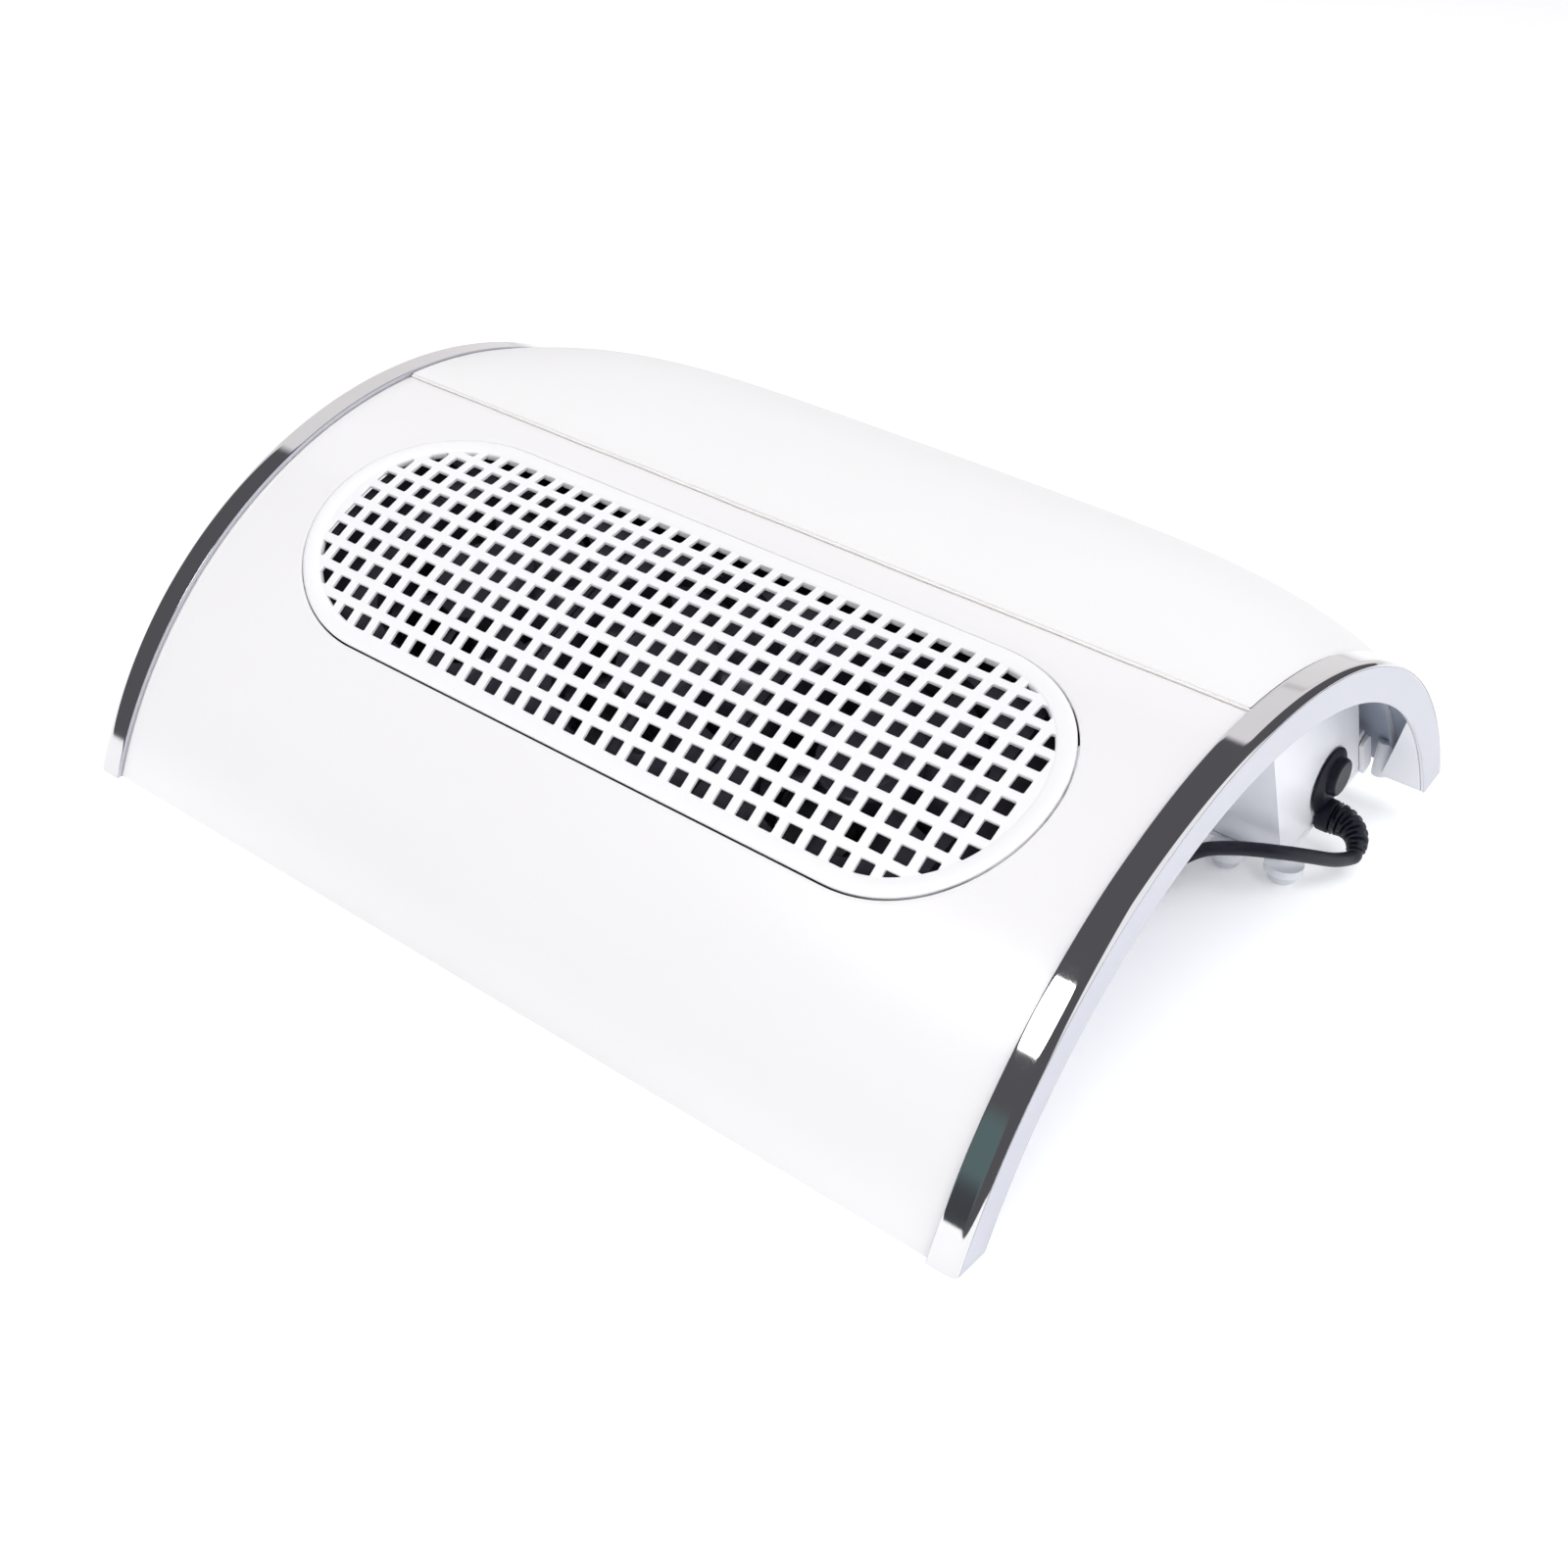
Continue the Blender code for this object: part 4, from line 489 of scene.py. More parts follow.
def finish_piece(name: str, data: bpy.types.Mesh, sharp_degrees: float = 35.0) -> bpy.types.Object:
    """Weld, orient and smooth a mesh, and put it in the scene.

    Args:
        name: the piece's name.
        data: its mesh.
        sharp_degrees: edges that turn more than this stay crisp.

    Returns:
        The new object.
    """
    shape = bmesh.new()
    shape.from_mesh(data)
    bmesh.ops.remove_doubles(shape, verts=shape.verts, dist=WELD)
    bmesh.ops.dissolve_degenerate(shape, edges=shape.edges, dist=SLIVER)
    bmesh.ops.recalc_face_normals(shape, faces=shape.faces)
    shape.to_mesh(data)
    shape.free()
    data.shade_smooth()
    data.set_sharp_from_angle(angle=math.radians(sharp_degrees))
    return add_object(name, data)


def soften(piece: bpy.types.Object, width: float, degrees: float) -> None:
    """Round a piece's edges that turn more than an angle, over a width in metres."""
    rounding = piece.modifiers.new("softened edges", "BEVEL")
    rounding.width = width
    rounding.segments = 2
    rounding.limit_method = "ANGLE"
    rounding.angle_limit = math.radians(degrees)


def copy_of_node(name: str, node: str, bevel: float) -> bpy.types.Object:
    """A welded copy of a CAD node, with its flat triangles merged and its edges softened.

    Args:
        name: the new piece's name.
        node: the node that is copied.
        bevel: how far its edges are rounded, in metres.

    Returns:
        The new object.
    """
    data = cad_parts[node].data.copy()
    data.name = name
    data.materials.clear()
    shape = bmesh.new()
    shape.from_mesh(data)
    bmesh.ops.remove_doubles(shape, verts=shape.verts, dist=WELD)
    bmesh.ops.dissolve_limit(
        shape, angle_limit=math.radians(FLAT_DEGREES), verts=shape.verts, edges=shape.edges
    )
    shape.to_mesh(data)
    shape.free()
    piece = finish_piece(name, data, COPY_EDGE_DEGREES)
    soften(piece, bevel, COPY_EDGE_DEGREES)
    return piece


def face_data(piece: bpy.types.Object) -> tuple[Array, Array]:
    """The centres and the normals of a mesh's faces, each shaped faces by 3."""
    polygons = piece.data.polygons
    found = []
    for name in ("center", "normal"):
        values = np.zeros(len(polygons) * 3, np.float32)
        polygons.foreach_get(name, values)
        found.append(values.reshape(-1, 3))
    return found[0], found[1]


class Workshop:
    """Materials made once, and the last step of every piece."""

    def __init__(self) -> None:
        """Start with no materials."""
        self.made: dict[str, bpy.types.Material] = {}

    def material(self, finish: Finish) -> bpy.types.Material:
        """The finish's material, made the first time that it is asked for."""
        if finish.name not in self.made:
            self.made[finish.name] = finish.material()
        return self.made[finish.name]

    def place(
        self,
        piece: bpy.types.Object,
        finish: Finish,
        slot: Slot,
        body: str = Body.UNIT.value,
        replaces: Sequence[str] = (),
    ) -> bpy.types.Object:
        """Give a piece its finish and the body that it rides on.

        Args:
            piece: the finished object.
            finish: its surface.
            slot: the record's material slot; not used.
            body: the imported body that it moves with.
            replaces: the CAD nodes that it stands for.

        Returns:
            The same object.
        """
        piece.data.materials.clear()
        piece.data.materials.append(self.material(finish))
        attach(piece, body)
        if replaces:
            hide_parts(*replaces)
        LOG.info("made %s on %s", piece.name, body)
        return piece

    def soft_copy(
        self,
        name: str,
        node: str,
        bevel: float,
        finish: Finish,
        slot: Slot,
        body: str = Body.UNIT.value,
    ) -> bpy.types.Object:
        """Show a CAD node as a copy with softened edges.

        Args:
            name: the piece's name.
            node: the node that is copied and replaced.
            bevel: how far its edges are rounded, in metres.
            finish: its surface.
            slot: the record's material slot.
            body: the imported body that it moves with.

        Returns:
            The placed copy.
        """
        return self.place(copy_of_node(name, node, bevel), finish, slot, body, [node])

    def refinish(self, piece: bpy.types.Object, finish: Finish, wanted: Array) -> None:
        """Give some of a placed piece's faces a second finish.

        Args:
            piece: the placed object.
            finish: the second finish.
            wanted: for each face, whether it takes that finish.
        """
        piece.data.materials.append(self.material(finish))
        piece.data.polygons.foreach_set("material_index", wanted.astype(np.int32))

    def dress(self, node: str, finish: Finish) -> None:
        """Give a CAD node that stays its finish."""
        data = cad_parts[node].data
        data.materials.clear()
        data.materials.append(self.material(finish))


# The arch and the tilted frame of the grille


@dataclass(frozen=True)
class Arch:
    """The arch that the whole unit is built on: a circle about an axis along X."""

    radius: float = 124.7 * MM
    front: float = math.radians(-71.05)
    rear: float = math.radians(63.5)
    half_width: float = 137.5 * MM
    trim_wall: float = 1.2 * MM
    trim_cap: float = 7.5 * MM
    gap: float = 0.3 * MM
    shell_wall: float = 2.5 * MM
    grille_angle: float = math.radians(-26.8)

    @property
    def axis_y(self) -> float:
        """The axis's y."""
        return self.radius * (math.sin(-self.front) - math.sin(self.rear)) / 2

    @property
    def axis_z(self) -> float:
        """The axis's z, below the surface that the unit stands on."""
        return -self.radius * math.cos(self.front)

    @property
    def shell_radius(self) -> float:
        """The radius of the shell's outer face."""
        return self.radius - self.trim_wall - self.gap

    def points(self, x: Array, angle: Array, radius: Array) -> Array:
        """Places on the arch: y and z are radius times the sine and cosine, from the axis."""
        x, angle, radius = np.broadcast_arrays(x, angle, radius)
        y = self.axis_y + radius * np.sin(angle)
        z = self.axis_z + radius * np.cos(angle)
        return np.stack([x, y, z], axis=-1)

    def floor_angle(self, radius: Array) -> Array:
        """The angle at which a circle of this radius meets the surface below, in front."""
        return -np.arccos(np.clip(-self.axis_z / radius, -1.0, 1.0))

    def along_grille(self, distance: Array) -> Array:
        """The angle that lies a distance up the slope from the grille's middle."""
        return self.grille_angle + distance / self.shell_radius

    def tilt(self) -> Matrix:
        """The grille's frame: x across, y up the slope, z out of the shell's surface."""
        return (
            Matrix.Translation((0, self.axis_y, self.axis_z))
            @ Matrix.Rotation(-self.grille_angle, 4, "X")
            @ Matrix.Translation((0, 0, self.shell_radius))
        )


ARCH = Arch()


def turned(points: Array, matrix: Matrix) -> Array:
    """Move an array of places by a matrix."""
    full = np.array(matrix)
    return points @ full[:3, :3].T + full[:3, 3]


def full_turn(steps: int) -> Array:
    """The angles of equal steps round a full turn."""
    return np.linspace(0.0, 2 * math.pi, steps, endpoint=False)


def polar(radius: Any, angle: Array, height: Any) -> Array:
    """Places from their radius and angle about the z axis, and their height."""
    sides = np.broadcast_arrays(radius * np.cos(angle), radius * np.sin(angle), height)
    return np.stack(sides, axis=-1)


def lathe(parts: MeshParts, profile: Array, matrix: Matrix, sides: int = 48) -> None:
    """Spin a profile of (radius, height) about the matrix's z axis, closed where it ends on it.

    Args:
        parts: where the surface is added.
        profile: radius and height of each point, shaped points by 2.
        matrix: the frame whose z axis the profile turns about.
        sides: the number of steps round the axis.
    """
    places = polar(profile[:, :1], full_turn(sides), profile[:, 1:])
    numbers = parts.grid(turned(places, matrix), wrap_columns=True)
    for row, place in ((0, profile[0]), (-1, profile[-1])):
        if place[0] > 0:
            parts.cap(numbers[row])


def lathed(
    name: str, profile: Array, matrix: Matrix, sides: int, sharp_degrees: float = 35.0
) -> bpy.types.Object:
    """A piece that is one profile spun as in lathe."""
    parts = MeshParts()
    lathe(parts, profile, matrix, sides)
    return parts.mesh(name, sharp_degrees)


def rounded_profile(corners: CornerLine, rounding: float, steps: int = 4) -> Array:
    """A line through corners, each inner one rounded by an arc-like curve.

    Each corner is replaced by a quadratic curve between points that lie the rounding before and
    after it on the line, or nearer where the line is short.
    """
    line = np.array(corners, float)
    made = [line[:1]]
    share = np.linspace(0.0, 1.0, steps + 1)[:, None]
    for before, corner, after in zip(line, line[1:], line[2:]):
        back, on = before - corner, after - corner
        back_length, on_length = np.linalg.norm(back), np.linalg.norm(on)
        reach = min(rounding, 0.45 * back_length, 0.45 * on_length)
        start = corner + back / back_length * reach
        end = corner + on / on_length * reach
        made.append((1 - share) ** 2 * start + 2 * share * (1 - share) * corner + share**2 * end)
    made.append(line[-1:])
    return np.concatenate(made)


def drum(radius: float, height: float, rounding: float, low: float = 0.0) -> Array:
    """The profile of a drum with rounded edges, from its lower face to its upper one."""
    return rounded_profile([(0, low), (radius, low), (radius, height), (0, height)], rounding)


def closed_profile(corners: CornerLine, rounding: float, steps: int = 4) -> Array:
    """A closed line through corners, every one rounded as in rounded_profile."""
    line = list(corners)
    start = tuple((np.array(line[0]) + np.array(line[-1])) / 2)
    return rounded_profile([start, *line, start], rounding, steps)[:-1]


def stadium_line(half_length: float, half_height: float, line_steps: int, arc_steps: int) -> Array:
    """A stadium's outline from its right side's middle, anticlockwise, shaped points by 2."""
    centre = half_length - half_height
    quarter = np.linspace(0.0, math.pi / 2, arc_steps, endpoint=False)
    straight = np.linspace(centre, -centre, line_steps, endpoint=False)
    top = np.stack([straight, np.full(line_steps, half_height)], -1)
    ends = []
    for turn, middle in ((quarter, centre), (quarter + math.pi / 2, -centre)):
        x, y = middle + half_height * np.cos(turn), half_height * np.sin(turn)
        ends.append(np.stack([x, y], -1))
    half = np.concatenate([ends[0], top, ends[1]])
    return np.concatenate([half, -half])


@dataclass
class TopShell:
    """The glossy white cover: a bent sheet round the grille's opening."""

    workshop: Workshop
    opening_half_length: float = 110.3 * MM
    opening_half_height: float = 36.3 * MM
    rows: int = 60
    row_power: float = 1.1
    line_steps: int = 64
    arc_steps: int = 44
    lip: tuple[tuple[float, float], ...] = (
        (0.05 * MM, -0.55 * MM), (0.10 * MM, -0.25 * MM), (0.22 * MM, -0.08 * MM), (0.42 * MM, 0.0),
    )
    boss_radius: float = 3.0 * MM
    boss_x: float = 98.3 * MM
    boss_u: float = 31.0 * MM
    boss_foot: float = 13.5 * MM
    boss_height: float = 8.5 * MM
    boss_rounding: float = 0.3 * MM
    rib_x: float = 125.7 * MM
    rib_wall: float = 0.9 * MM
    rib_depth: float = 1.6 * MM
    rib_root: float = 0.1 * MM
    rib_start: float = math.radians(36.0)
    rib_end: float = math.radians(61.0)

    def opening(self, offset: float) -> Array:
        """The opening's outline, a distance outside its own edge, from its upper right corner."""
        outline = stadium_line(
            self.opening_half_length + offset,
            self.opening_half_height + offset,
            self.line_steps,
            self.arc_steps,
        )
        return np.roll(outline, -(self.arc_steps // 2), axis=0)

    def sheet_edge(self, radius: float) -> Array:
        """The sheet's own edge, a rectangle, flat, with as many points as the opening.

        Each point of the opening goes to the rectangle's point that lies in the same share of the
        same side.
        """
        half = ARCH.half_width - ARCH.trim_wall - ARCH.gap
        low = (float(ARCH.floor_angle(np.array(radius))) - ARCH.grille_angle) * ARCH.shell_radius
        high = (ARCH.rear - ARCH.grille_angle) * ARCH.shell_radius
        long = self.line_steps + 2 * (self.arc_steps - self.arc_steps // 2)
        short = 2 * (self.arc_steps // 2)
        sides = (
            (np.linspace(half, -half, long, endpoint=False), np.full(long, high)),
            (np.full(short, -half), np.linspace(high, low, short, endpoint=False)),
            (np.linspace(-half, half, long, endpoint=False), np.full(long, low)),
            (np.full(short, half), np.linspace(low, high, short, endpoint=False)),
        )
        return np.concatenate([np.stack(side, axis=-1) for side in sides])

    def face(self, radius: float, with_lip: bool) -> Array:
        """One face of the bent sheet, row by row from the opening to the edge.

        Args:
            radius: the face's radius about the arch's axis.
            with_lip: whether the opening's edge is rounded down.

        Returns:
            Places, shaped rows by points round the sheet by 3.
        """
        last = self.opening(self.lip[-1][0])
        edge = self.sheet_edge(radius)
        shares = np.linspace(0.0, 1.0, self.rows)[1:] ** self.row_power
        flat = [self.opening(offset) for offset, _ in self.lip]
        flat += [last + (edge - last) * share for share in shares]
        drops = [drop if with_lip else 0.0 for _, drop in self.lip] + [0.0] * len(shares)
        rows = np.stack(flat)
        height = np.array(drops)[:, None] + radius
        return ARCH.points(rows[..., 0], ARCH.along_grille(rows[..., 1]), height)

    def build(self) -> None:
        """Make the sheet, its inside, the edges between them, the screw bosses and the ribs; the
        deeper inward faces take a dark blue-grey that is painted shade.
        """
        parts = MeshParts()
        top = parts.grid(self.face(ARCH.shell_radius, True), wrap_columns=True)
        under = parts.grid(
            self.face(ARCH.shell_radius - ARCH.shell_wall, False), wrap_columns=True
        )
        parts.join(top[0], under[0], closed=True)
        parts.join(top[-1], under[-1], closed=True)
        boss = drum(self.boss_radius, self.boss_height, self.boss_rounding)
        for x in (-self.boss_x, self.boss_x):
            for u in (-self.boss_u, self.boss_u):
                place = ARCH.tilt() @ Matrix.Translation((x, u, -self.boss_foot))
                lathe(parts, boss, place, 24)
        for x in (-self.rib_x, self.rib_x):
            self.rib(parts, x)
        shell = parts.mesh("white_top_shell", SHELL_CREASE)
        self.workshop.place(shell, SHELL_GLOSS, Slot.SHELL, replaces=["top_shell"])
        centres, normals = face_data(shell)
        radial = centres - np.array([0.0, ARCH.axis_y, ARCH.axis_z])
        radial[:, 0] = 0.0
        depth = ARCH.shell_radius - np.linalg.norm(radial, axis=1)
        inward = np.sum(radial * normals, axis=1) < 0
        # The shell's deeper inward faces take painted shade, not a different moulding.
        self.workshop.refinish(shell, SHELL_PAINTED_SHADE, (depth > ARCH.shell_wall / 2) & inward)

    def rib(self, parts: MeshParts, x: float) -> None:
        """Add a thin stiffening rib that follows the inside of the rear flank."""
        inner = ARCH.shell_radius - ARCH.shell_wall
        angle = np.linspace(self.rib_start, self.rib_end, 24)
        half, root, tip = self.rib_wall / 2, self.rib_root, -self.rib_depth
        section = ((-half, root), (half, root), (half, tip), (-half, tip))
        parts.bar(np.stack([ARCH.points(x + dx, angle, inner + dr) for dx, dr in section]))


@dataclass
class SideTrim:
    """A moulding that caps one side of the arch: a bright strip over a satin side."""

    workshop: Workshop
    side: int
    name: str
    band_height: float = 10.3 * MM
    bevel_width: float = 2.2 * MM
    bevel_drop: float = 0.80 * MM
    bevel_power: float = 2.4
    flat_margin: float = 0.25 * MM
    groove: float = 0.28 * MM
    groove_drop: float = 0.10 * MM
    rounding: float = 0.35 * MM
    side_inset: float = 0.04 * MM
    side_band: float = 0.4 * MM
    end_cut: float = math.radians(1.1)
    end_short: float = math.radians(0.35)
    steps: int = 240
    web_start: float = math.radians(41.0)
    web_width: float = 11.5 * MM
    web_inset: float = 0.05 * MM
    web_rounding: float = 0.15 * MM
    post_radius: float = 2.3 * MM
    post_height: float = 10.5 * MM
    post_rounding: float = 0.4 * MM
    post_place: tuple[float, float, float] = (123.9 * MM, 105.6 * MM, 12.6 * MM)

    def section(self) -> Array:
        """The section in (x, radius).

        The cap is flat up to its bevel, which bends down by a power of the distance across it. A
        fine groove parts the bevel's crisp edge from the side.
        """
        outer, wall, groove = ARCH.half_width, ARCH.trim_wall, self.groove
        high, low = ARCH.radius, ARCH.radius - self.band_height
        below = high - self.bevel_drop - self.groove_drop
        share = np.linspace(0.0, 1.0, 9)[:, None]
        inner, bevel_start = outer - ARCH.trim_cap, outer - self.bevel_width
        bevel = np.concatenate(
            [
                outer - self.bevel_width * (1 - share),
                high - self.bevel_drop * share**self.bevel_power,
            ],
            axis=1,
        )
        side = [
            (outer, below),
            (outer - groove, below - groove * 0.5),
            (outer - groove, below - groove * 1.2),
        ]
        flank = outer - self.side_inset
        foot = rounded_profile(
            [(flank, below - groove * 1.6), (flank, low), (outer - wall, low),
             (outer - wall, high - wall), (inner, high - wall), (inner, high), (bevel_start, high)],
            self.rounding,
        )
        margin = self.flat_margin
        flat = [(inner + 3 * margin, high), (bevel_start - margin, high)]
        return np.concatenate([bevel, np.array(side), foot[:-1], np.array(flat)])

    def build(self) -> None:
        """Carry the section along the arch from the surface below to the rear edge."""
        section = self.section()
        radius = section[:, 1][:, None]
        start = ARCH.floor_angle(radius)
        depth = (ARCH.radius - radius) / self.band_height
        end = ARCH.rear - self.end_short - self.end_cut * depth
        share = np.linspace(0.0, 1.0, self.steps)[None]
        angle = start + (end - start) * share
        places = ARCH.points(self.side * section[:, :1], angle, radius)
        parts = MeshParts()
        parts.bar(places)
        trim = parts.mesh(f"{self.name}_plated", CREASE)
        self.workshop.place(trim, CHROME, Slot.TRIM, replaces=[self.name])
        centres, normals = face_data(trim)
        reach = np.abs(centres[:, 0])
        radial = np.hypot(centres[:, 1] - ARCH.axis_y, centres[:, 2] - ARCH.axis_z)
        top = ARCH.radius - self.bevel_drop - self.groove_drop - self.groove * 1.4
        flat = (reach > ARCH.half_width - self.side_band) & (radial < top)
        inside = self.side * normals[:, 0] < -0.5
        self.workshop.refinish(trim, TRIM_SATIN, flat | inside)
        self.web()
        self.post()

    def web(self) -> None:
        """Make the web in the rear corner, which widens from nothing towards the rear edge."""
        outside = ARCH.half_width - ARCH.trim_wall - self.web_inset
        low = ARCH.radius - self.band_height
        high = ARCH.shell_radius - ARCH.shell_wall - ARCH.gap
        end = ARCH.rear - self.end_short - self.end_cut
        share = np.linspace(0.02, 1.0, 26)
        angle = self.web_start + (end - self.web_start) * share
        outer, inner = np.full_like(angle, outside), outside - self.web_width * share
        corners = ((outer, low), (outer, high), (inner, high), (inner, low))
        parts = MeshParts()
        parts.bar(np.stack([ARCH.points(self.side * x, angle, radius) for x, radius in corners]))
        piece = parts.mesh(f"{self.name}_corner_web", CREASE)
        soften(piece, self.web_rounding, CREASE)
        self.workshop.place(piece, HOUSING_SATIN, Slot.TRIM)

    def post(self) -> None:
        """Make the post that stands in the rear corner."""
        x, y, z = self.post_place
        profile = drum(self.post_radius, self.post_height, self.post_rounding)
        place = Matrix.Translation((self.side * x, y, z))
        piece = lathed(f"{self.name}_corner_post", profile, place, 28)
        self.workshop.place(piece, HOUSING_SATIN, Slot.TRIM)


@dataclass
class Grille:
    """The insert: a soft raised rim round a field of square holes."""

    workshop: Workshop
    half_length: float = 109.9 * MM
    half_height: float = 35.9 * MM
    rim_width: float = 4.8 * MM
    rim_rise: float = 0.6 * MM
    rim_shoulder: float = 0.45
    rim_crest: tuple[float, float] = (0.9 * MM, 2.6 * MM)
    rim_lap: float = 0.05 * MM
    rim_rounding: float = 0.8 * MM
    wall: float = 2.2 * MM
    field_wall: float = 1.0 * MM
    pitch: float = 6.47 * MM
    hole: float = 4.0 * MM
    least_shown: float = 0.9 * MM
    hole_corner: float = 0.35 * MM
    edge: float = 0.22 * MM
    columns: int = 32
    rows: int = 10
    line_steps: int = 64
    arc_steps: int = 44

    def bent(self, flat: Array, height: Array) -> Array:
        """Bend flat places round the arch: the second number is the distance up the slope."""
        return ARCH.points(
            flat[..., 0], ARCH.along_grille(flat[..., 1]), ARCH.shell_radius + height
        )

    def square(self, half: float, corner: float) -> Array:
        """A square's outline with three points on each rounded corner, shaped 12 by 2."""
        turn = np.array([0.0, 45.0, 90.0])
        made = []
        for index, (sx, sy) in enumerate(CORNER_SIGNS):
            angle = np.radians(turn + 90.0 * index)
            centre = np.array([sx, sy]) * (half - corner)
            made.append(centre + corner * np.stack([np.cos(angle), np.sin(angle)], -1))
        return np.concatenate(made)

    def cell_outline(self) -> Array:
        """The cell's own square outline with 12 points that pair with a hole's."""
        half = self.pitch / 2
        side = half * (1 - 2 * self.hole_corner / self.hole)
        made = []
        for sx, sy in CORNER_SIGNS:
            first = (sx * half, sy * side) if sx * sy > 0 else (sx * side, sy * half)
            last = (sx * side, sy * half) if sx * sy > 0 else (sx * half, sy * side)
            made += [first, (sx * half, sy * half), last]
        return np.array(made)

    def is_inside(self, centres: Array, reach: float, inset: float) -> Array:
        """Whether a square of that reach round each centre touches the stadium less an inset."""
        half_height = self.half_height - inset
        straight = self.half_length - self.half_height
        near_x = np.maximum(np.abs(centres[:, 0]) - reach, 0.0)
        near_y = np.maximum(np.abs(centres[:, 1]) - reach, 0.0)
        return np.hypot(np.maximum(near_x - straight, 0.0), near_y) < half_height

    def cell_centres(self) -> tuple[Array, Array]:
        """The centres of the cells with a hole, and of the plain cells round them."""
        across = (np.arange(-1, self.columns + 1) - (self.columns - 1) / 2) * self.pitch
        along = (np.arange(-1, self.rows + 1) - (self.rows - 1) / 2) * self.pitch
        centres = np.stack(np.meshgrid(across, along), -1).reshape(-1, 2)
        limit = np.array([self.columns, self.rows]) / 2 * self.pitch
        in_grid = np.all(np.abs(centres) < limit, axis=1)
        reach = self.hole / 2 - self.least_shown
        has_hole = in_grid & self.is_inside(centres, reach, self.rim_width)
        plain = ~has_hole & self.is_inside(centres, self.pitch / 2, self.rim_width)
        return centres[has_hole], centres[plain]

    def drawn_in(self, flat: Array) -> Array:
        """Flat places, with those past the middle of the rim drawn in to it."""
        straight = self.half_length - self.half_height
        nearest = np.clip(flat[..., 0], -straight, straight)
        middle = np.stack([nearest, np.zeros_like(nearest)], -1)
        offset = flat - middle
        reach = np.linalg.norm(offset, axis=-1, keepdims=True)
        limit = self.half_height - self.rim_width / 2
        return middle + offset * np.minimum(1.0, limit / np.maximum(reach, 1e-9))

    def field_parts(self, parts: MeshParts) -> None:
        """Add the field: each cell is a row of squares from its top, over the edge, to its back."""
        holes, plain = self.cell_centres()
        outline = self.cell_outline()
        mouth = self.square(self.hole / 2 + self.edge, self.hole_corner + self.edge)
        throat = self.square(self.hole / 2, self.hole_corner)
        rings = np.stack([outline, mouth, throat, throat, outline])
        heights = np.array([0.0, 0.0, -self.edge, -self.field_wall, -self.field_wall])
        drop = np.broadcast_to(heights[:, None], rings.shape[:2])
        for centre in holes:
            parts.grid(self.bent(self.drawn_in(rings + centre), drop), wrap_columns=True)
        corner = self.pitch / 2 * np.array([[-1, -1], [1, -1], [1, 1], [-1, 1]])
        for centre in plain:
            for height in (0.0, -self.field_wall):
                flat = self.drawn_in(corner + centre)
                numbers = parts.grid(self.bent(flat[None], np.array(height)))
                parts.cap(numbers[0])

    def rim_parts(self, parts: MeshParts) -> None:
        """Add the rim: a soft-topped profile carried round the stadium."""
        width, rise, wall = self.rim_width, self.rim_rise, self.wall
        start, end = self.rim_crest
        profile = closed_profile(
            [(0, -wall), (0, rise * self.rim_shoulder), (start, rise), (end, rise),
             (width, self.rim_lap), (width, -wall)],
            self.rim_rounding,
        )
        length, height = self.half_length, self.half_height
        steps = (self.line_steps, self.arc_steps)
        sides = [stadium_line(length - inset, height - inset, *steps) for inset in profile[:, 0]]
        heights = np.broadcast_to(profile[:, 1:], (len(profile), len(sides[0])))
        parts.grid(self.bent(np.stack(sides), heights), wrap_rows=True, wrap_columns=True)

    def build(self) -> None:
        """Make the insert."""
        parts = MeshParts()
        self.field_parts(parts)
        insert = parts.mesh("grille_field", CREASE)
        self.workshop.place(insert, GRILLE_SATIN, Slot.GRILLE, replaces=["grille"])
        rim = MeshParts()
        self.rim_parts(rim)
        self.workshop.place(rim.mesh("grille_rim", CREASE), GRILLE_SATIN, Slot.GRILLE)


CLOTH = {
    "quality": 6,
    "mass": 0.3,
    "tension_stiffness": 40.0,
    "compression_stiffness": 40.0,
    "shear_stiffness": 15.0,
    "bending_stiffness": 2.0,
    "uniform_pressure_force": 24.0,
}


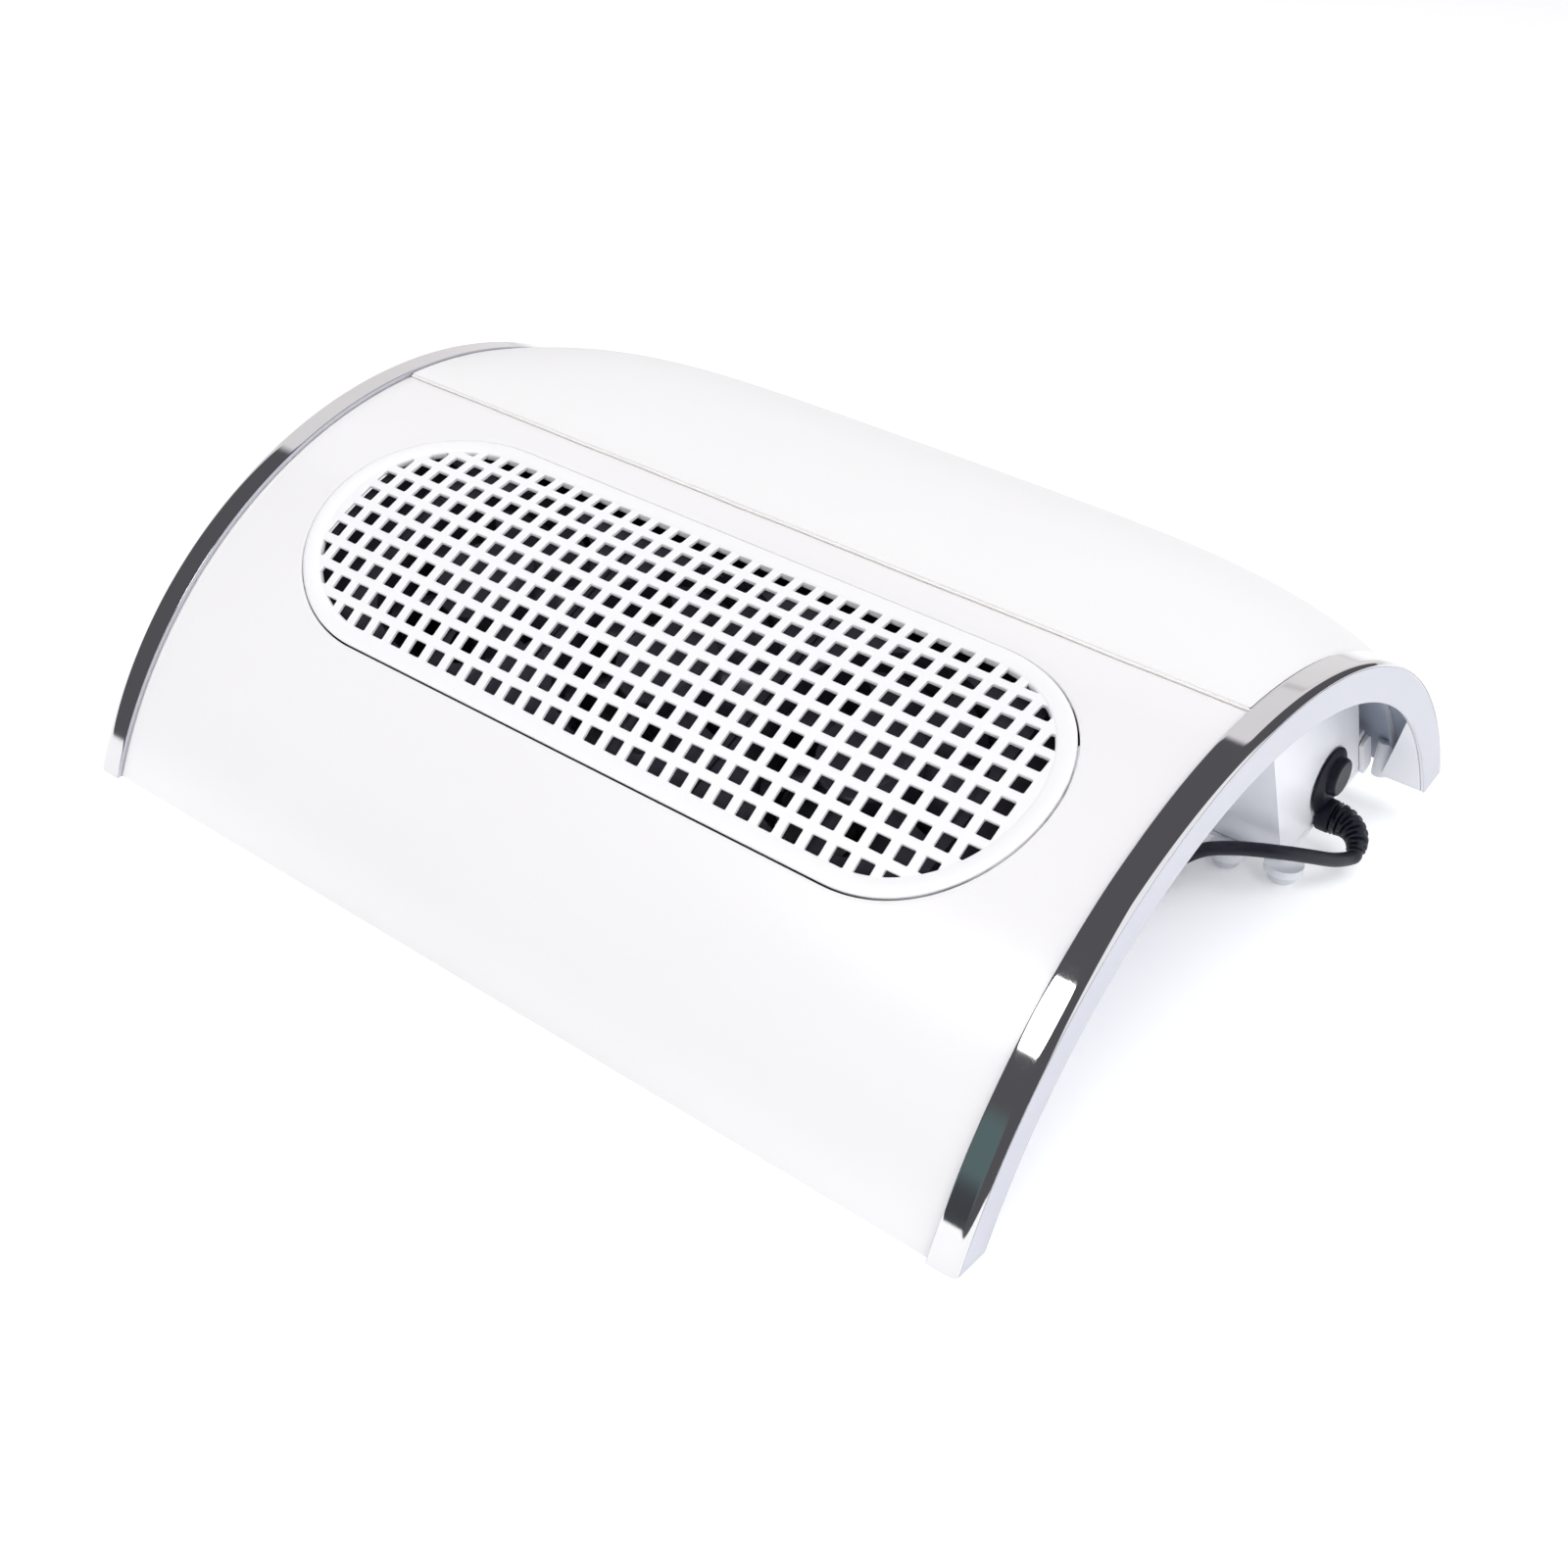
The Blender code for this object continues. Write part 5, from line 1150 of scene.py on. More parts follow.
@dataclass
class HandRest:
    """The padded cushion on the rear half, filled and stretched over its base."""

    workshop: Workshop
    front: float = math.radians(-4.6)
    rear: float = math.radians(60.5)
    edge: float = 1.0 * MM
    crown: float = 11.2 * MM
    side_power: float = 5.0
    front_power: float = 2.6
    draw_in: float = 1.5 * MM
    held_edge: float = 6.0 * MM
    columns: int = 124
    rows: int = 66
    base_gap: float = 0.1 * MM
    lowered: float = 0.5 * MM
    most_moved: float = 1.4 * MM
    last_frame: int = 20
    fold_radius: float = 0.35 * MM
    fold_ahead: float = 0.001
    fold_gap: float = 0.05 * MM
    fold_waves: tuple[tuple[float, float, float], ...] = (
        (0.06 * MM, 9 * MM, 0.0), (0.05 * MM, 4.3 * MM, 1.0),
    )

    @property
    def half(self) -> float:
        """Half the cushion's width."""
        return ARCH.half_width - ARCH.trim_cap - ARCH.gap

    @property
    def bottom(self) -> float:
        """The radius of the cushion's underside."""
        return ARCH.shell_radius + self.base_gap

    def surface(self, drop: float) -> MeshParts:
        """The cushion's closed form, with a crown that is lower by a drop.

        Its top rises from a thin edge by the crown times one minus a power of the distance from
        the middle, both across and along, and its side draws in below.
        """
        across = np.sin(np.linspace(-1, 1, self.columns) * math.pi / 2)[None]
        along = np.sin(np.linspace(-1, 1, self.rows) * math.pi / 2)[:, None]
        side = 1 - np.abs(across) ** self.side_power
        front = 1 - np.abs(along) ** self.front_power
        angle = self.front + (self.rear - self.front) * (along + 1) / 2
        top = self.bottom + self.edge + (self.crown - drop) * side * front
        parts = MeshParts()
        upper = parts.grid(ARCH.points(across * self.half, angle, top))
        inner = self.half - self.draw_in
        lower = parts.grid(ARCH.points(across * inner, angle, np.array(self.bottom)))
        parts.join_edges(upper, lower)
        return parts

    def fill(self, piece: bpy.types.Object, most: float) -> None:
        """Blow the cover up with cloth pressure while its edge and its underside are held.

        Args:
            piece: the cushion with its crown lowered.
            most: the furthest that a point may move, in metres.
        """
        before = self.read(piece)
        held = piece.vertex_groups.new(name="held")
        held.add(np.flatnonzero(self.is_held(before)).tolist(), 1.0, "REPLACE")
        cloth = piece.modifiers.new("fill", "CLOTH")
        cloth.settings.vertex_group_mass = held.name
        cloth.settings.use_pressure = True
        cloth.settings.effector_weights.gravity = 0.0
        for key, value in CLOTH.items():
            setattr(cloth.settings, key, value)
        scene = bpy.context.scene
        for step in range(1, self.last_frame + 1):
            scene.frame_set(step)
        self.apply_modifiers(piece)
        after = self.read(piece)
        scene.frame_set(1)
        piece.vertex_groups.clear()
        move = after - before
        length = np.linalg.norm(move, axis=1, keepdims=True)
        LOG.info("cushion moved by %.2f mm at most", length.max() / MM)
        kept = before + move * np.minimum(1.0, most / np.maximum(length, 1e-9))
        piece.data.vertices.foreach_set("co", kept.astype(np.float32).ravel())
        piece.data.update()

    def is_held(self, places: Array) -> Array:
        """Whether each place lies on the underside or within the held edge of the top."""
        back, up = places[:, 1] - ARCH.axis_y, places[:, 2] - ARCH.axis_z
        angle = np.arctan2(back, up)
        margins = (
            self.half - np.abs(places[:, 0]),
            (angle - self.front) * ARCH.shell_radius,
            (self.rear - angle) * ARCH.shell_radius,
        )
        low = np.hypot(back, up) < self.bottom + self.edge / 2
        return low | (np.minimum.reduce(margins) < self.held_edge)

    def read(self, piece: bpy.types.Object) -> Array:
        """The places of a piece's vertices."""
        places = np.zeros(len(piece.data.vertices) * 3, np.float32)
        piece.data.vertices.foreach_get("co", places)
        return places.reshape(-1, 3).astype(float)

    def apply_modifiers(self, piece: bpy.types.Object) -> None:
        """Make a piece's evaluated shape its own mesh, and drop its modifiers."""
        depsgraph = bpy.context.evaluated_depsgraph_get()
        made = bpy.data.meshes.new_from_object(piece.evaluated_get(depsgraph))
        piece.modifiers.clear()
        old, piece.data = piece.data, made
        bpy.data.meshes.remove(old)

    def build(self) -> None:
        """Make the cushion and the fold along its front."""
        drop = self.lowered
        cushion = self.surface(drop).mesh("hand_rest_cover", SOFT_CREASE)
        self.fill(cushion, self.most_moved)
        cushion.data.shade_smooth()
        smooth = cushion.modifiers.new("soft surface", "SUBSURF")
        smooth.levels = 1
        smooth.render_levels = 1
        self.workshop.place(
            cushion, CUSHION_LEATHER, Slot.CUSHION, replaces=["hand_rest_cushion"]
        )
        self.workshop.place(self.piping(), CUSHION_PIPING, Slot.CUSHION)

    def piping(self) -> bpy.types.Object:
        """A thin folded edge along the cushion's front, where it meets the shell."""
        x = np.linspace(-self.half, self.half, 140)[:, None]
        turn = full_turn(10)[None]
        radius = self.fold_radius
        waver = sum(depth * np.sin(x / length + phase) for depth, length, phase in self.fold_waves)
        reach = (radius * np.cos(turn) + waver) / ARCH.shell_radius
        height = ARCH.shell_radius + self.fold_gap + radius * (1 + np.sin(turn))
        parts = MeshParts()
        parts.tube(ARCH.points(x, self.front - self.fold_ahead + reach, height))
        return parts.mesh("hand_rest_front_fold", SOFT_CREASE)


@dataclass
class Fan:
    """One axial fan under the grille."""

    workshop: Workshop
    side_name: str
    x: float
    top_depth: float = 9.5 * MM
    set_down: float = 1.0 * MM
    hub_radius: float = 13.0 * MM
    hub_height: float = 17.0 * MM
    cup_wall: float = 1.5 * MM
    cup_rounding: float = 0.9 * MM
    dish_radius: float = 8.5 * MM
    dish_edge: float = 9.3 * MM
    dish_depth: float = 0.25 * MM
    blades: int = 7
    reach: float = 26.4 * MM
    chord: float = 17.0 * MM
    blade_wall: float = 1.1 * MM
    chord_root: float = 0.82
    chord_growth: float = 0.25
    pitch_root: float = 46.0
    pitch_fall: float = 16.0
    sweep: float = 0.16
    blade_level: float = 0.47
    camber: float = 1.6 * MM
    foot_clear: float = 0.6 * MM
    top_clear: float = 0.7 * MM
    thinnest: float = 0.03

    def axis(self) -> Matrix:
        """The rotor's frame: z along the spin axis, the origin at the hub's top."""
        return ARCH.tilt() @ Matrix.Translation((self.x, 0, -self.top_depth - self.set_down))

    def blade(self, parts: MeshParts, turn: float) -> None:
        """Add a blade.

        Along its length the chord grows and its pitch flattens from the hub to the tip. Across
        the chord its height follows the pitch plus a shallow arc, and its wall thins to the edges.
        """
        out = np.linspace(self.hub_radius - self.cup_wall * 0.7, self.reach, 14)[:, None]
        share = (out - self.hub_radius) / (self.reach - self.hub_radius)
        around = np.linspace(-0.5, 0.5, 15)[None]
        chord = self.chord * (self.chord_root + self.chord_growth * share)
        pitch = np.radians(self.pitch_root - self.pitch_fall * share)
        flat = around * chord
        angle = turn + self.sweep * share + flat * np.cos(pitch) / out
        middle = -self.hub_height * self.blade_level
        bow = 1 - (2 * around) ** 2
        height = middle + flat * np.sin(pitch) + self.camber * bow
        height = np.clip(height, -self.hub_height + self.foot_clear, -self.top_clear)
        half = self.blade_wall / 2 * np.sqrt(np.maximum(bow, self.thinnest))
        upper, lower = (
            parts.grid(turned(polar(out, angle, height + shift), self.axis()))
            for shift in (half, -half)
        )
        parts.join_edges(upper, lower)

    def build(self) -> None:
        """Make the rotor and give the fan's other pieces their finish."""
        name = self.side_name
        parts = MeshParts()
        radius, wall, height = self.hub_radius, self.cup_wall, self.hub_height
        drop = -self.dish_depth
        cup = rounded_profile(
            [(0, drop), (self.dish_radius, drop), (self.dish_edge, 0), (radius, 0),
             (radius, -height), (radius - wall, -height), (radius - wall, -wall), (0, -wall)],
            self.cup_rounding,
        )
        lathe(parts, cup, self.axis(), 64)
        for index in range(self.blades):
            self.blade(parts, 2 * math.pi * index / self.blades)
        rotor = parts.mesh(f"rotor_{name}", CREASE)
        self.workshop.place(
            rotor, FAN_PLASTIC, Slot.BLACK_PLASTIC, f"rotor_{name}", [f"fan_rotor_{name}"]
        )
        self.workshop.soft_copy(
            f"frame_{name}", f"fan_frame_{name}", 0.35 * MM, FAN_PLASTIC, Slot.BLACK_PLASTIC
        )
        for part, finish in (
            ("shaft", STEEL), ("bearing", BRASS), ("stator", COPPER), ("lead", BLACK_RUBBER),
        ):
            self.workshop.dress(f"fan_{part}_{name}", finish)


@dataclass
class Screw:
    """A pan-head screw with a cross recess."""

    workshop: Workshop
    node: str
    direction: Vector
    head_radius: float = 2.5 * MM
    head_height: float = 1.4 * MM
    dome_share: float = 0.42
    shank_radius: float = 1.2 * MM
    shank_start: float = 0.8
    thread_pitch: float = 0.7 * MM
    thread_depth: float = 0.16
    point: float = 1.6 * MM
    blunt: float = 0.35
    arm: float = 1.45 * MM
    slot_half: float = 0.38 * MM
    recess: float = 0.75 * MM
    recess_wall: float = 0.18 * MM
    sides: int = 64

    def placed(self) -> tuple[Matrix, float]:
        """The screw's frame, with z from its head to its point, and its length."""
        low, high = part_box(self.node)
        axis = self.direction.normalized()
        corners = np.array([vertex.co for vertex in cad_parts[self.node].data.vertices])
        along = corners @ np.array(axis)
        middle = (Vector(low) + Vector(high)) / 2
        centre = middle - axis * middle.dot(axis) + axis * float(along.min())
        turn = Vector((0, 0, 1)).rotation_difference(axis).to_matrix().to_4x4()
        return Matrix.Translation(centre) @ turn, float(along.max() - along.min())

    def head(self, parts: MeshParts, place: Matrix) -> None:
        """Add the head: a dome, pressed in wherever a point lies within the cross's arms."""
        ring = np.linspace(0.0, 1.0, 22)[:, None]
        angle = full_turn(self.sides)[None]
        radius = self.head_radius * ring
        x, y = radius * np.cos(angle), radius * np.sin(angle)
        near = np.minimum(
            np.maximum(np.abs(x) - self.slot_half, np.abs(y) - self.arm),
            np.maximum(np.abs(y) - self.slot_half, np.abs(x) - self.arm),
        )
        pressed = self.recess * np.clip(-near / self.recess_wall + 0.5, 0.0, 1.0)
        dome = self.head_height * self.dome_share * ring**4 + pressed
        face = parts.grid(turned(np.stack([x, y, dome], axis=-1), place), wrap_columns=True)
        under = polar(self.head_radius, angle, self.head_height)
        seat = parts.grid(turned(under, place), wrap_columns=True)
        parts.join(face[-1], seat[0], closed=True)
        parts.cap(seat[0])

    def shank(self, parts: MeshParts, place: Matrix, length: float) -> None:
        """Add the shank: its radius is a sawtooth along it that turns with the angle."""
        angle = full_turn(self.sides)[None]
        steps = np.linspace(self.head_height * self.shank_start, length, 70)[:, None]
        thread = np.mod(steps / self.thread_pitch + angle / (2 * math.pi), 1.0)
        radius = self.shank_radius * (1 - self.thread_depth * np.abs(2 * thread - 1))
        radius = radius * np.clip((length - steps) / self.point + self.blunt, 0.0, 1.0)
        parts.tube(turned(polar(radius, angle, steps)[:, ::4], place))

    def build(self) -> None:
        """Make the screw where its node lies."""
        place, length = self.placed()
        parts = MeshParts()
        self.head(parts, place)
        self.shank(parts, place, length)
        screw = parts.mesh(f"{self.node}_pan_head", CREASE)
        self.workshop.place(screw, STEEL, Slot.STEEL, replaces=[self.node])


@dataclass
class Housing:
    """The white housing, its bottom cover, the fan deck, the feet and all their screws."""

    workshop: Workshop
    feet: tuple[str, ...] = (
        "corner_foot_left", "corner_foot_right", "inner_foot_left", "inner_foot_right",
    )
    well_half_length: float = 111 * MM
    well_half_height: float = 37.6 * MM
    well_top: float = -2.6 * MM
    well_floor: float = -60 * MM
    foot_taper: float = 0.76
    foot_rounding: float = 0.9 * MM

    def build(self) -> None:
        """Make the housing's pieces from softened copies, and the feet and screws anew; the fan
        deck and the housing's faces under the grille are painted near-black as shade.
        """
        make = self.workshop.soft_copy
        housing = make("white_housing", "fan_housing", 0.5 * MM, HOUSING_SATIN, Slot.HOUSING)
        # Painted shade: the housing's faces under the grille turn near-black.
        self.workshop.refinish(housing, DECK_PAINTED_SHADE, self.inside(housing))
        make("white_bottom_cover", "bottom_cover", 0.35 * MM, HOUSING_SATIN, Slot.HOUSING)
        # Painted shade: the whole fan deck is near-black.
        make("fan_deck_painted_shade", "fan_deck", 0.25 * MM, DECK_PAINTED_SHADE, Slot.BLACK_PLASTIC)
        for node in self.feet:
            self.foot(node)
        into_grille = Vector((0, math.sin(ARCH.grille_angle), math.cos(ARCH.grille_angle)))
        for index in range(1, 5):
            Screw(self.workshop, f"cover_screw_{index}", Vector((0, 0, 1))).build()
            Screw(self.workshop, f"shell_screw_{index}", into_grille).build()
        for side in ("left", "middle", "right"):
            for index in (1, 2):
                Screw(self.workshop, f"fan_screw_{side}_{index}", into_grille).build()

    def inside(self, piece: bpy.types.Object) -> Array:
        """Which faces lie under the grille and look up at it or in towards the middle: these are
        painted dark as shade.
        """
        centres, normals = face_data(piece)
        level = ARCH.tilt().inverted()
        place = turned(centres, level)
        facing = normals @ np.array(level)[:3, :3].T
        under = np.abs(place[:, 0]) < self.well_half_length
        under &= np.abs(place[:, 1]) < self.well_half_height
        under &= (place[:, 2] < self.well_top) & (place[:, 2] > self.well_floor)
        looks_in = np.sum(facing[:, :2] * place[:, :2], axis=1) < -0.2 * MM
        return under & ((facing[:, 2] > 0.2) | looks_in)

    def foot(self, node: str) -> None:
        """Make a foot: a soft cone with a rounded edge at the bottom."""
        low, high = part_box(node)
        top = (high.x - low.x) / 2
        height = high.z - low.z
        base = top * self.foot_taper
        corners = [(0, 0), (base, 0), (top, height), (0, height)]
        profile = rounded_profile(corners, self.foot_rounding)
        place = Matrix.Translation(((low.x + high.x) / 2, (low.y + high.y) / 2, low.z))
        piece = lathed(f"{node}_pad", profile, place, 40, CREASE)
        self.workshop.place(piece, FOOT_RUBBER, Slot.HOUSING, replaces=[node])


@dataclass
class Outlet:
    """The bag frame at the rear, which slides on its two hooks."""

    workshop: Workshop
    origin: tuple[float, float] = (96.6 * MM, 25.9 * MM)
    down: tuple[float, float] = (0.447, -0.894)
    back: tuple[float, float] = (0.894, 0.447)
    corners: tuple[tuple[float, float], ...] = ((1.6, -0.9), (1.6, 3.7), (14.2, 3.7), (15.2, -0.9))
    rounding: float = 1.6
    half_size: float = 8.0
    layers: tuple[tuple[float, float], ...] = (
        (119.75, 0.3), (119.75, 0.0), (120.65, 0.0), (120.85, 0.3),
    )

    def build(self) -> None:
        """Make the frame from a softened copy, and its two ears."""
        body = Body.BAG_FRAME.value
        self.workshop.soft_copy(
            "bag_ring", "bag_frame", 0.4 * MM, HOUSING_SATIN, Slot.HOUSING, body
        )
        for side, name in ((-1, "left"), (1, "right")):
            plate = self.ear(side).mesh(f"bag_ring_ear_{name}", 30.0)
            self.workshop.place(plate, HOUSING_SATIN, Slot.HOUSING, body)

    def ear(self, side: int) -> MeshParts:
        """A round-topped plate on one end of the frame, along its slope.

        Its corners, rounding and layers are in mm.
        """
        outline = closed_profile(self.corners, self.rounding, 6) * MM
        down, back = np.array(self.down), np.array(self.back)
        flat = np.array(self.origin) + outline[:, :1] * down + outline[:, 1:] * back
        middle = flat.mean(axis=0)
        rows = []
        for reach, inset in self.layers:
            ring = middle + (flat - middle) * (1 - inset / self.half_size)
            rows.append(np.column_stack([np.full(len(ring), side * reach * MM), ring]))
        parts = MeshParts()
        parts.tube(np.stack(rows))
        return parts


@dataclass
class Switch:
    """The rocker switch on the left wall."""

    workshop: Workshop

    def build(self) -> None:
        """Make the bezel and the rocker from softened copies."""
        self.workshop.soft_copy(
            "bezel", "switch_bezel", 0.35 * MM, BLACK_PLASTIC, Slot.BLACK_PLASTIC
        )
        self.workshop.soft_copy(
            "red_rocker", "switch_rocker", 0.45 * MM, RED_GLOSS, Slot.ROCKER, Body.ROCKER.value
        )


def cross_directions(path: Array) -> tuple[Array, Array]:
    """Two directions square to a path at each of its points, without twist.

    The first is carried along and made square to each new direction of the path in turn.
    """
    step = np.gradient(path, axis=0)
    ahead = step / np.linalg.norm(step, axis=1, keepdims=True)
    side = np.zeros_like(path)
    current = np.cross(ahead[0], (0.0, 0.0, 1.0))
    for index, direction in enumerate(ahead):
        current = current - direction * np.dot(current, direction)
        current = current / np.linalg.norm(current)
        side[index] = current
    return side, np.cross(ahead, side)


def swept_tube(parts: MeshParts, path: Array, radii: Array) -> None:
    """Add a tube along a path, closed at both ends, by its radii, shaped points by sides."""
    side, up = cross_directions(path)
    turn = full_turn(radii.shape[1])
    ring = side[:, None] * np.cos(turn)[None, :, None] + up[:, None] * np.sin(turn)[None, :, None]
    parts.tube(path[:, None] + ring * radii[..., None])


@dataclass
class Cord:
    """The gland, the ribbed boot, the cord's free run, its stored coil, the tie and the plug."""

    workshop: Workshop
    radius: float = 1.9 * MM
    flange_y: float = 79.3 * MM
    flange_z: float = 21.1 * MM
    flange_radius: float = 9.2 * MM
    flange_wall: float = 1.9 * MM
    wall_x: float = 119.5 * MM
    flange_rim: float = 0.6 * MM
    stub_radius: float = 5.6 * MM
    stub_length: float = 4.0 * MM
    stub_rise: float = 2.0 * MM
    tongue_reach: float = 7.3 * MM
    tongue_radius: float = 4.5 * MM
    root_radius: float = 4.6 * MM
    root_drop: float = 10.1 * MM
    tip_radius: float = 2.5 * MM
    ribs: int = 8
    boot_sides: int = 56
    boot_steps: int = 260
    groove_share: float = 0.36
    bridge_edge: float = 0.30
    bridge_fade: float = 0.16
    bend_radius: float = 8.0 * MM
    bend: float = math.radians(72.0)
    lean: float = math.radians(60.0)
    straight: float = 1.2 * MM
    coil_x: float = -174.0 * MM
    coil_y: float = 60.0 * MM
    coil_inner: float = 16.0 * MM
    coil_pitch: float = 4.4 * MM
    coil_turns: float = 6.25
    coil_floor: float = 3.3 * MM
    coil_points: int = 24
    curve_steps: int = 5
    landing: float = 0.4 * MM
    entry_steps: tuple[float, float] = (16.3 * MM, 8.3 * MM)
    tail_step: float = 4 * MM
    plug_height: float = 5.2 * MM
    neck: float = 9 * MM
    neck_radius: float = 2.8 * MM
    neck_growth: float = 0.9 * MM
    shoulder: float = 1.2 * MM
    ring_depth: float = 0.35 * MM
    ring_pitch: float = 2.4 * MM
    ring_margins: tuple[float, float] = (4 * MM, 5 * MM)
    grip_end: float = 0.8 * MM
    bore: float = 1.05 * MM
    bore_floor: float = 1.1 * MM
    band_depth: float = 0.12 * MM
    barrel_rounding: float = 0.25 * MM

    def boot_line(self, steps: int) -> Array:
        """The boot's centre line: straight, an arc in a leaning plane, and straight again."""
        root_x = self.wall_x + self.stub_length + 2 * ARCH.gap
        start = np.array([root_x, self.flange_y, self.flange_z - self.root_drop])
        arc_length = self.bend_radius * self.bend
        along = np.linspace(0.0, 2 * self.straight + arc_length, steps)
        angle = np.clip(along - self.straight, 0.0, arc_length) / self.bend_radius
        out = np.minimum(along, self.straight) + self.bend_radius * np.sin(angle)
        drop = self.bend_radius * (1 - np.cos(angle))
        after = np.maximum(along - self.straight - arc_length, 0.0)
        ahead = np.array([1.0, 0.0, 0.0])
        bent = start + out[:, None] * ahead + drop[:, None] * self.fall()
        return bent + after[:, None] * self.heading()

    def fall(self) -> Array:
        """The direction in which the boot bends, square to its start."""
        return np.array([0.0, -math.sin(self.lean), -math.cos(self.lean)])

    def heading(self) -> Array:
        """The direction in which the boot's tip points."""
        return np.array([math.cos(self.bend), 0.0, 0.0]) + self.fall() * math.sin(self.bend)

    def on_wall(self, rise: float) -> Matrix:
        """A frame on the right wall whose z points out of it, above the gland's middle."""
        place = Matrix.Translation((self.wall_x + ARCH.gap, self.flange_y, self.flange_z + rise))
        return place @ Matrix.Rotation(math.radians(90), 4, "Y")

    def gland(self) -> None:
        """Make the gland: a thin-rimmed disc, a stub above its middle, and the boot's root."""
        parts = MeshParts()
        wall, stub = self.flange_wall, self.stub_length
        disc = rounded_profile(
            [(0, -self.tongue_reach), (self.tongue_radius, -self.tongue_reach),
             (self.tongue_radius, 0), (self.flange_radius, 0),
             (self.flange_radius, self.flange_rim), (self.stub_radius + 0.6 * MM, wall), (0, wall)],
            0.45 * MM,
        )
        lathe(parts, disc, self.on_wall(0.0), 64)
        knob = rounded_profile(
            [(0, wall / 2), (self.stub_radius, wall / 2), (self.stub_radius - 0.5 * MM, stub),
             (0, stub - 0.5 * MM)],
            0.9 * MM,
        )
        lathe(parts, knob, self.on_wall(self.stub_rise), 56)
        lobe = drum(self.root_radius, stub, 0.8 * MM, low=0.1 * MM)
        lathe(parts, lobe, self.on_wall(-self.root_drop), 48)
        piece = parts.mesh("cord_gland", CREASE)
        self.workshop.place(piece, BLACK_PLASTIC, Slot.BLACK_PLASTIC, replaces=["cord_flange"])

    def boot(self) -> None:
        """Make the boot: its radius tapers and falls into a groove between ribs.

        Two bridges cross each groove, a quarter turn on from those of the groove before it.
        """
        share = np.linspace(0.0, 1.0, self.boot_steps)[:, None]
        taper = self.root_radius + (self.tip_radius - self.root_radius) * share
        wave = np.cos(2 * math.pi * self.ribs * share)
        turn = full_turn(self.boot_sides)[None]
        bridge = np.abs(np.sin(turn + np.floor(self.ribs * share) * math.pi / 2))
        window = np.clip((bridge - self.bridge_edge) / self.bridge_fade, 0.0, 1.0)
        groove = self.groove_share * taper * np.clip(0.55 - 1.1 * wave, 0.0, 1.0) * window
        ends = np.clip(np.minimum(share, 1 - share) / 0.02, 0.0, 1.0)
        parts = MeshParts()
        radii = (taper - groove) * (0.88 + 0.12 * ends)
        swept_tube(parts, self.boot_line(self.boot_steps), radii)
        piece = parts.mesh("ribbed_boot", SOFT_CREASE)
        self.workshop.place(piece, BLACK_RUBBER, Slot.BLACK_RUBBER, replaces=["cord_boot"])

    def route(self) -> Array:
        """The points of the whole cord, from the boot's tip to the plug, the same as in CAD."""
        start = self.boot_line(19)[-1] + self.heading() * ARCH.gap
        low = self.radius + ARCH.gap / 3
        entry_y = self.coil_y - self.coil_inner - self.coil_pitch * self.coil_turns / 2
        laid = np.array(
            [
                (133.0, 70.0, 7.0), (131.3, 64.0, 8.8), (128.0, 56.5, 12.0), (123.5, 50.3, 14.1),
                (118.0, 46.7, 14.2), (111.5, 45.3, 12.4), (104.5, 43.0, 9.6), (99.5, 38.5, 5.5),
            ]
        ) * MM
        floor = np.array(
            [
                (97.0, 30.0), (96.8, 15.0), (97.2, -15.0), (97.0, -40.0), (97.2, -58.0),
                (93.5, -71.0), (82.0, -78.0), (50.0, -79.5), (0.0, -80.0), (-50.0, -79.5),
                (-82.0, -78.0), (-93.5, -71.0), (-97.5, -58.0), (-98.0, -38.0), (-100.0, -10.0),
                (-106.0, 11.0), (-120.0, 24.0), (-140.0, entry_y / MM - 1.0),
            ]
        ) * MM
        floor = np.concatenate([floor, np.full((len(floor), 1), low)], axis=1)
        floor[0, 2] += self.landing
        entry = [(self.coil_x + step, entry_y, self.coil_floor) for step in self.entry_steps]
        first = [start, start + self.heading() * self.straight]
        return np.concatenate([first, laid, floor, entry, self.coil_line()])

    def coil_line(self) -> Array:
        """The coil's points: in along the lower layer, a climb, out along the upper, and a tail.

        The radius falls and grows again by the pitch for each turn, and the height climbs by one
        pitch over the half turn in the middle.
        """
        count = round(self.coil_turns * self.coil_points)
        turns = np.linspace(0.0, self.coil_turns, count + 1)
        middle = self.coil_turns / 2
        radius = self.coil_inner + self.coil_pitch * np.abs(turns - middle)
        angle = -2 * math.pi * (turns + 0.25)
        climb = np.clip((turns - middle) / 0.5 + 0.5, 0.0, 1.0)
        height = self.coil_floor + self.coil_pitch * climb
        line = np.stack(
            [self.coil_x + radius * np.cos(angle), self.coil_y + radius * np.sin(angle), height], -1
        )
        end = line[-1]
        drop = (end[2] - self.plug_height) / 2
        steps = np.arange(1, 7)
        sunk = drop * np.clip(steps - 3, 0, 2)
        tail = np.stack([np.full(6, end[0]), end[1] + self.tail_step * steps, end[2] - sunk], -1)
        return np.concatenate([line, tail])

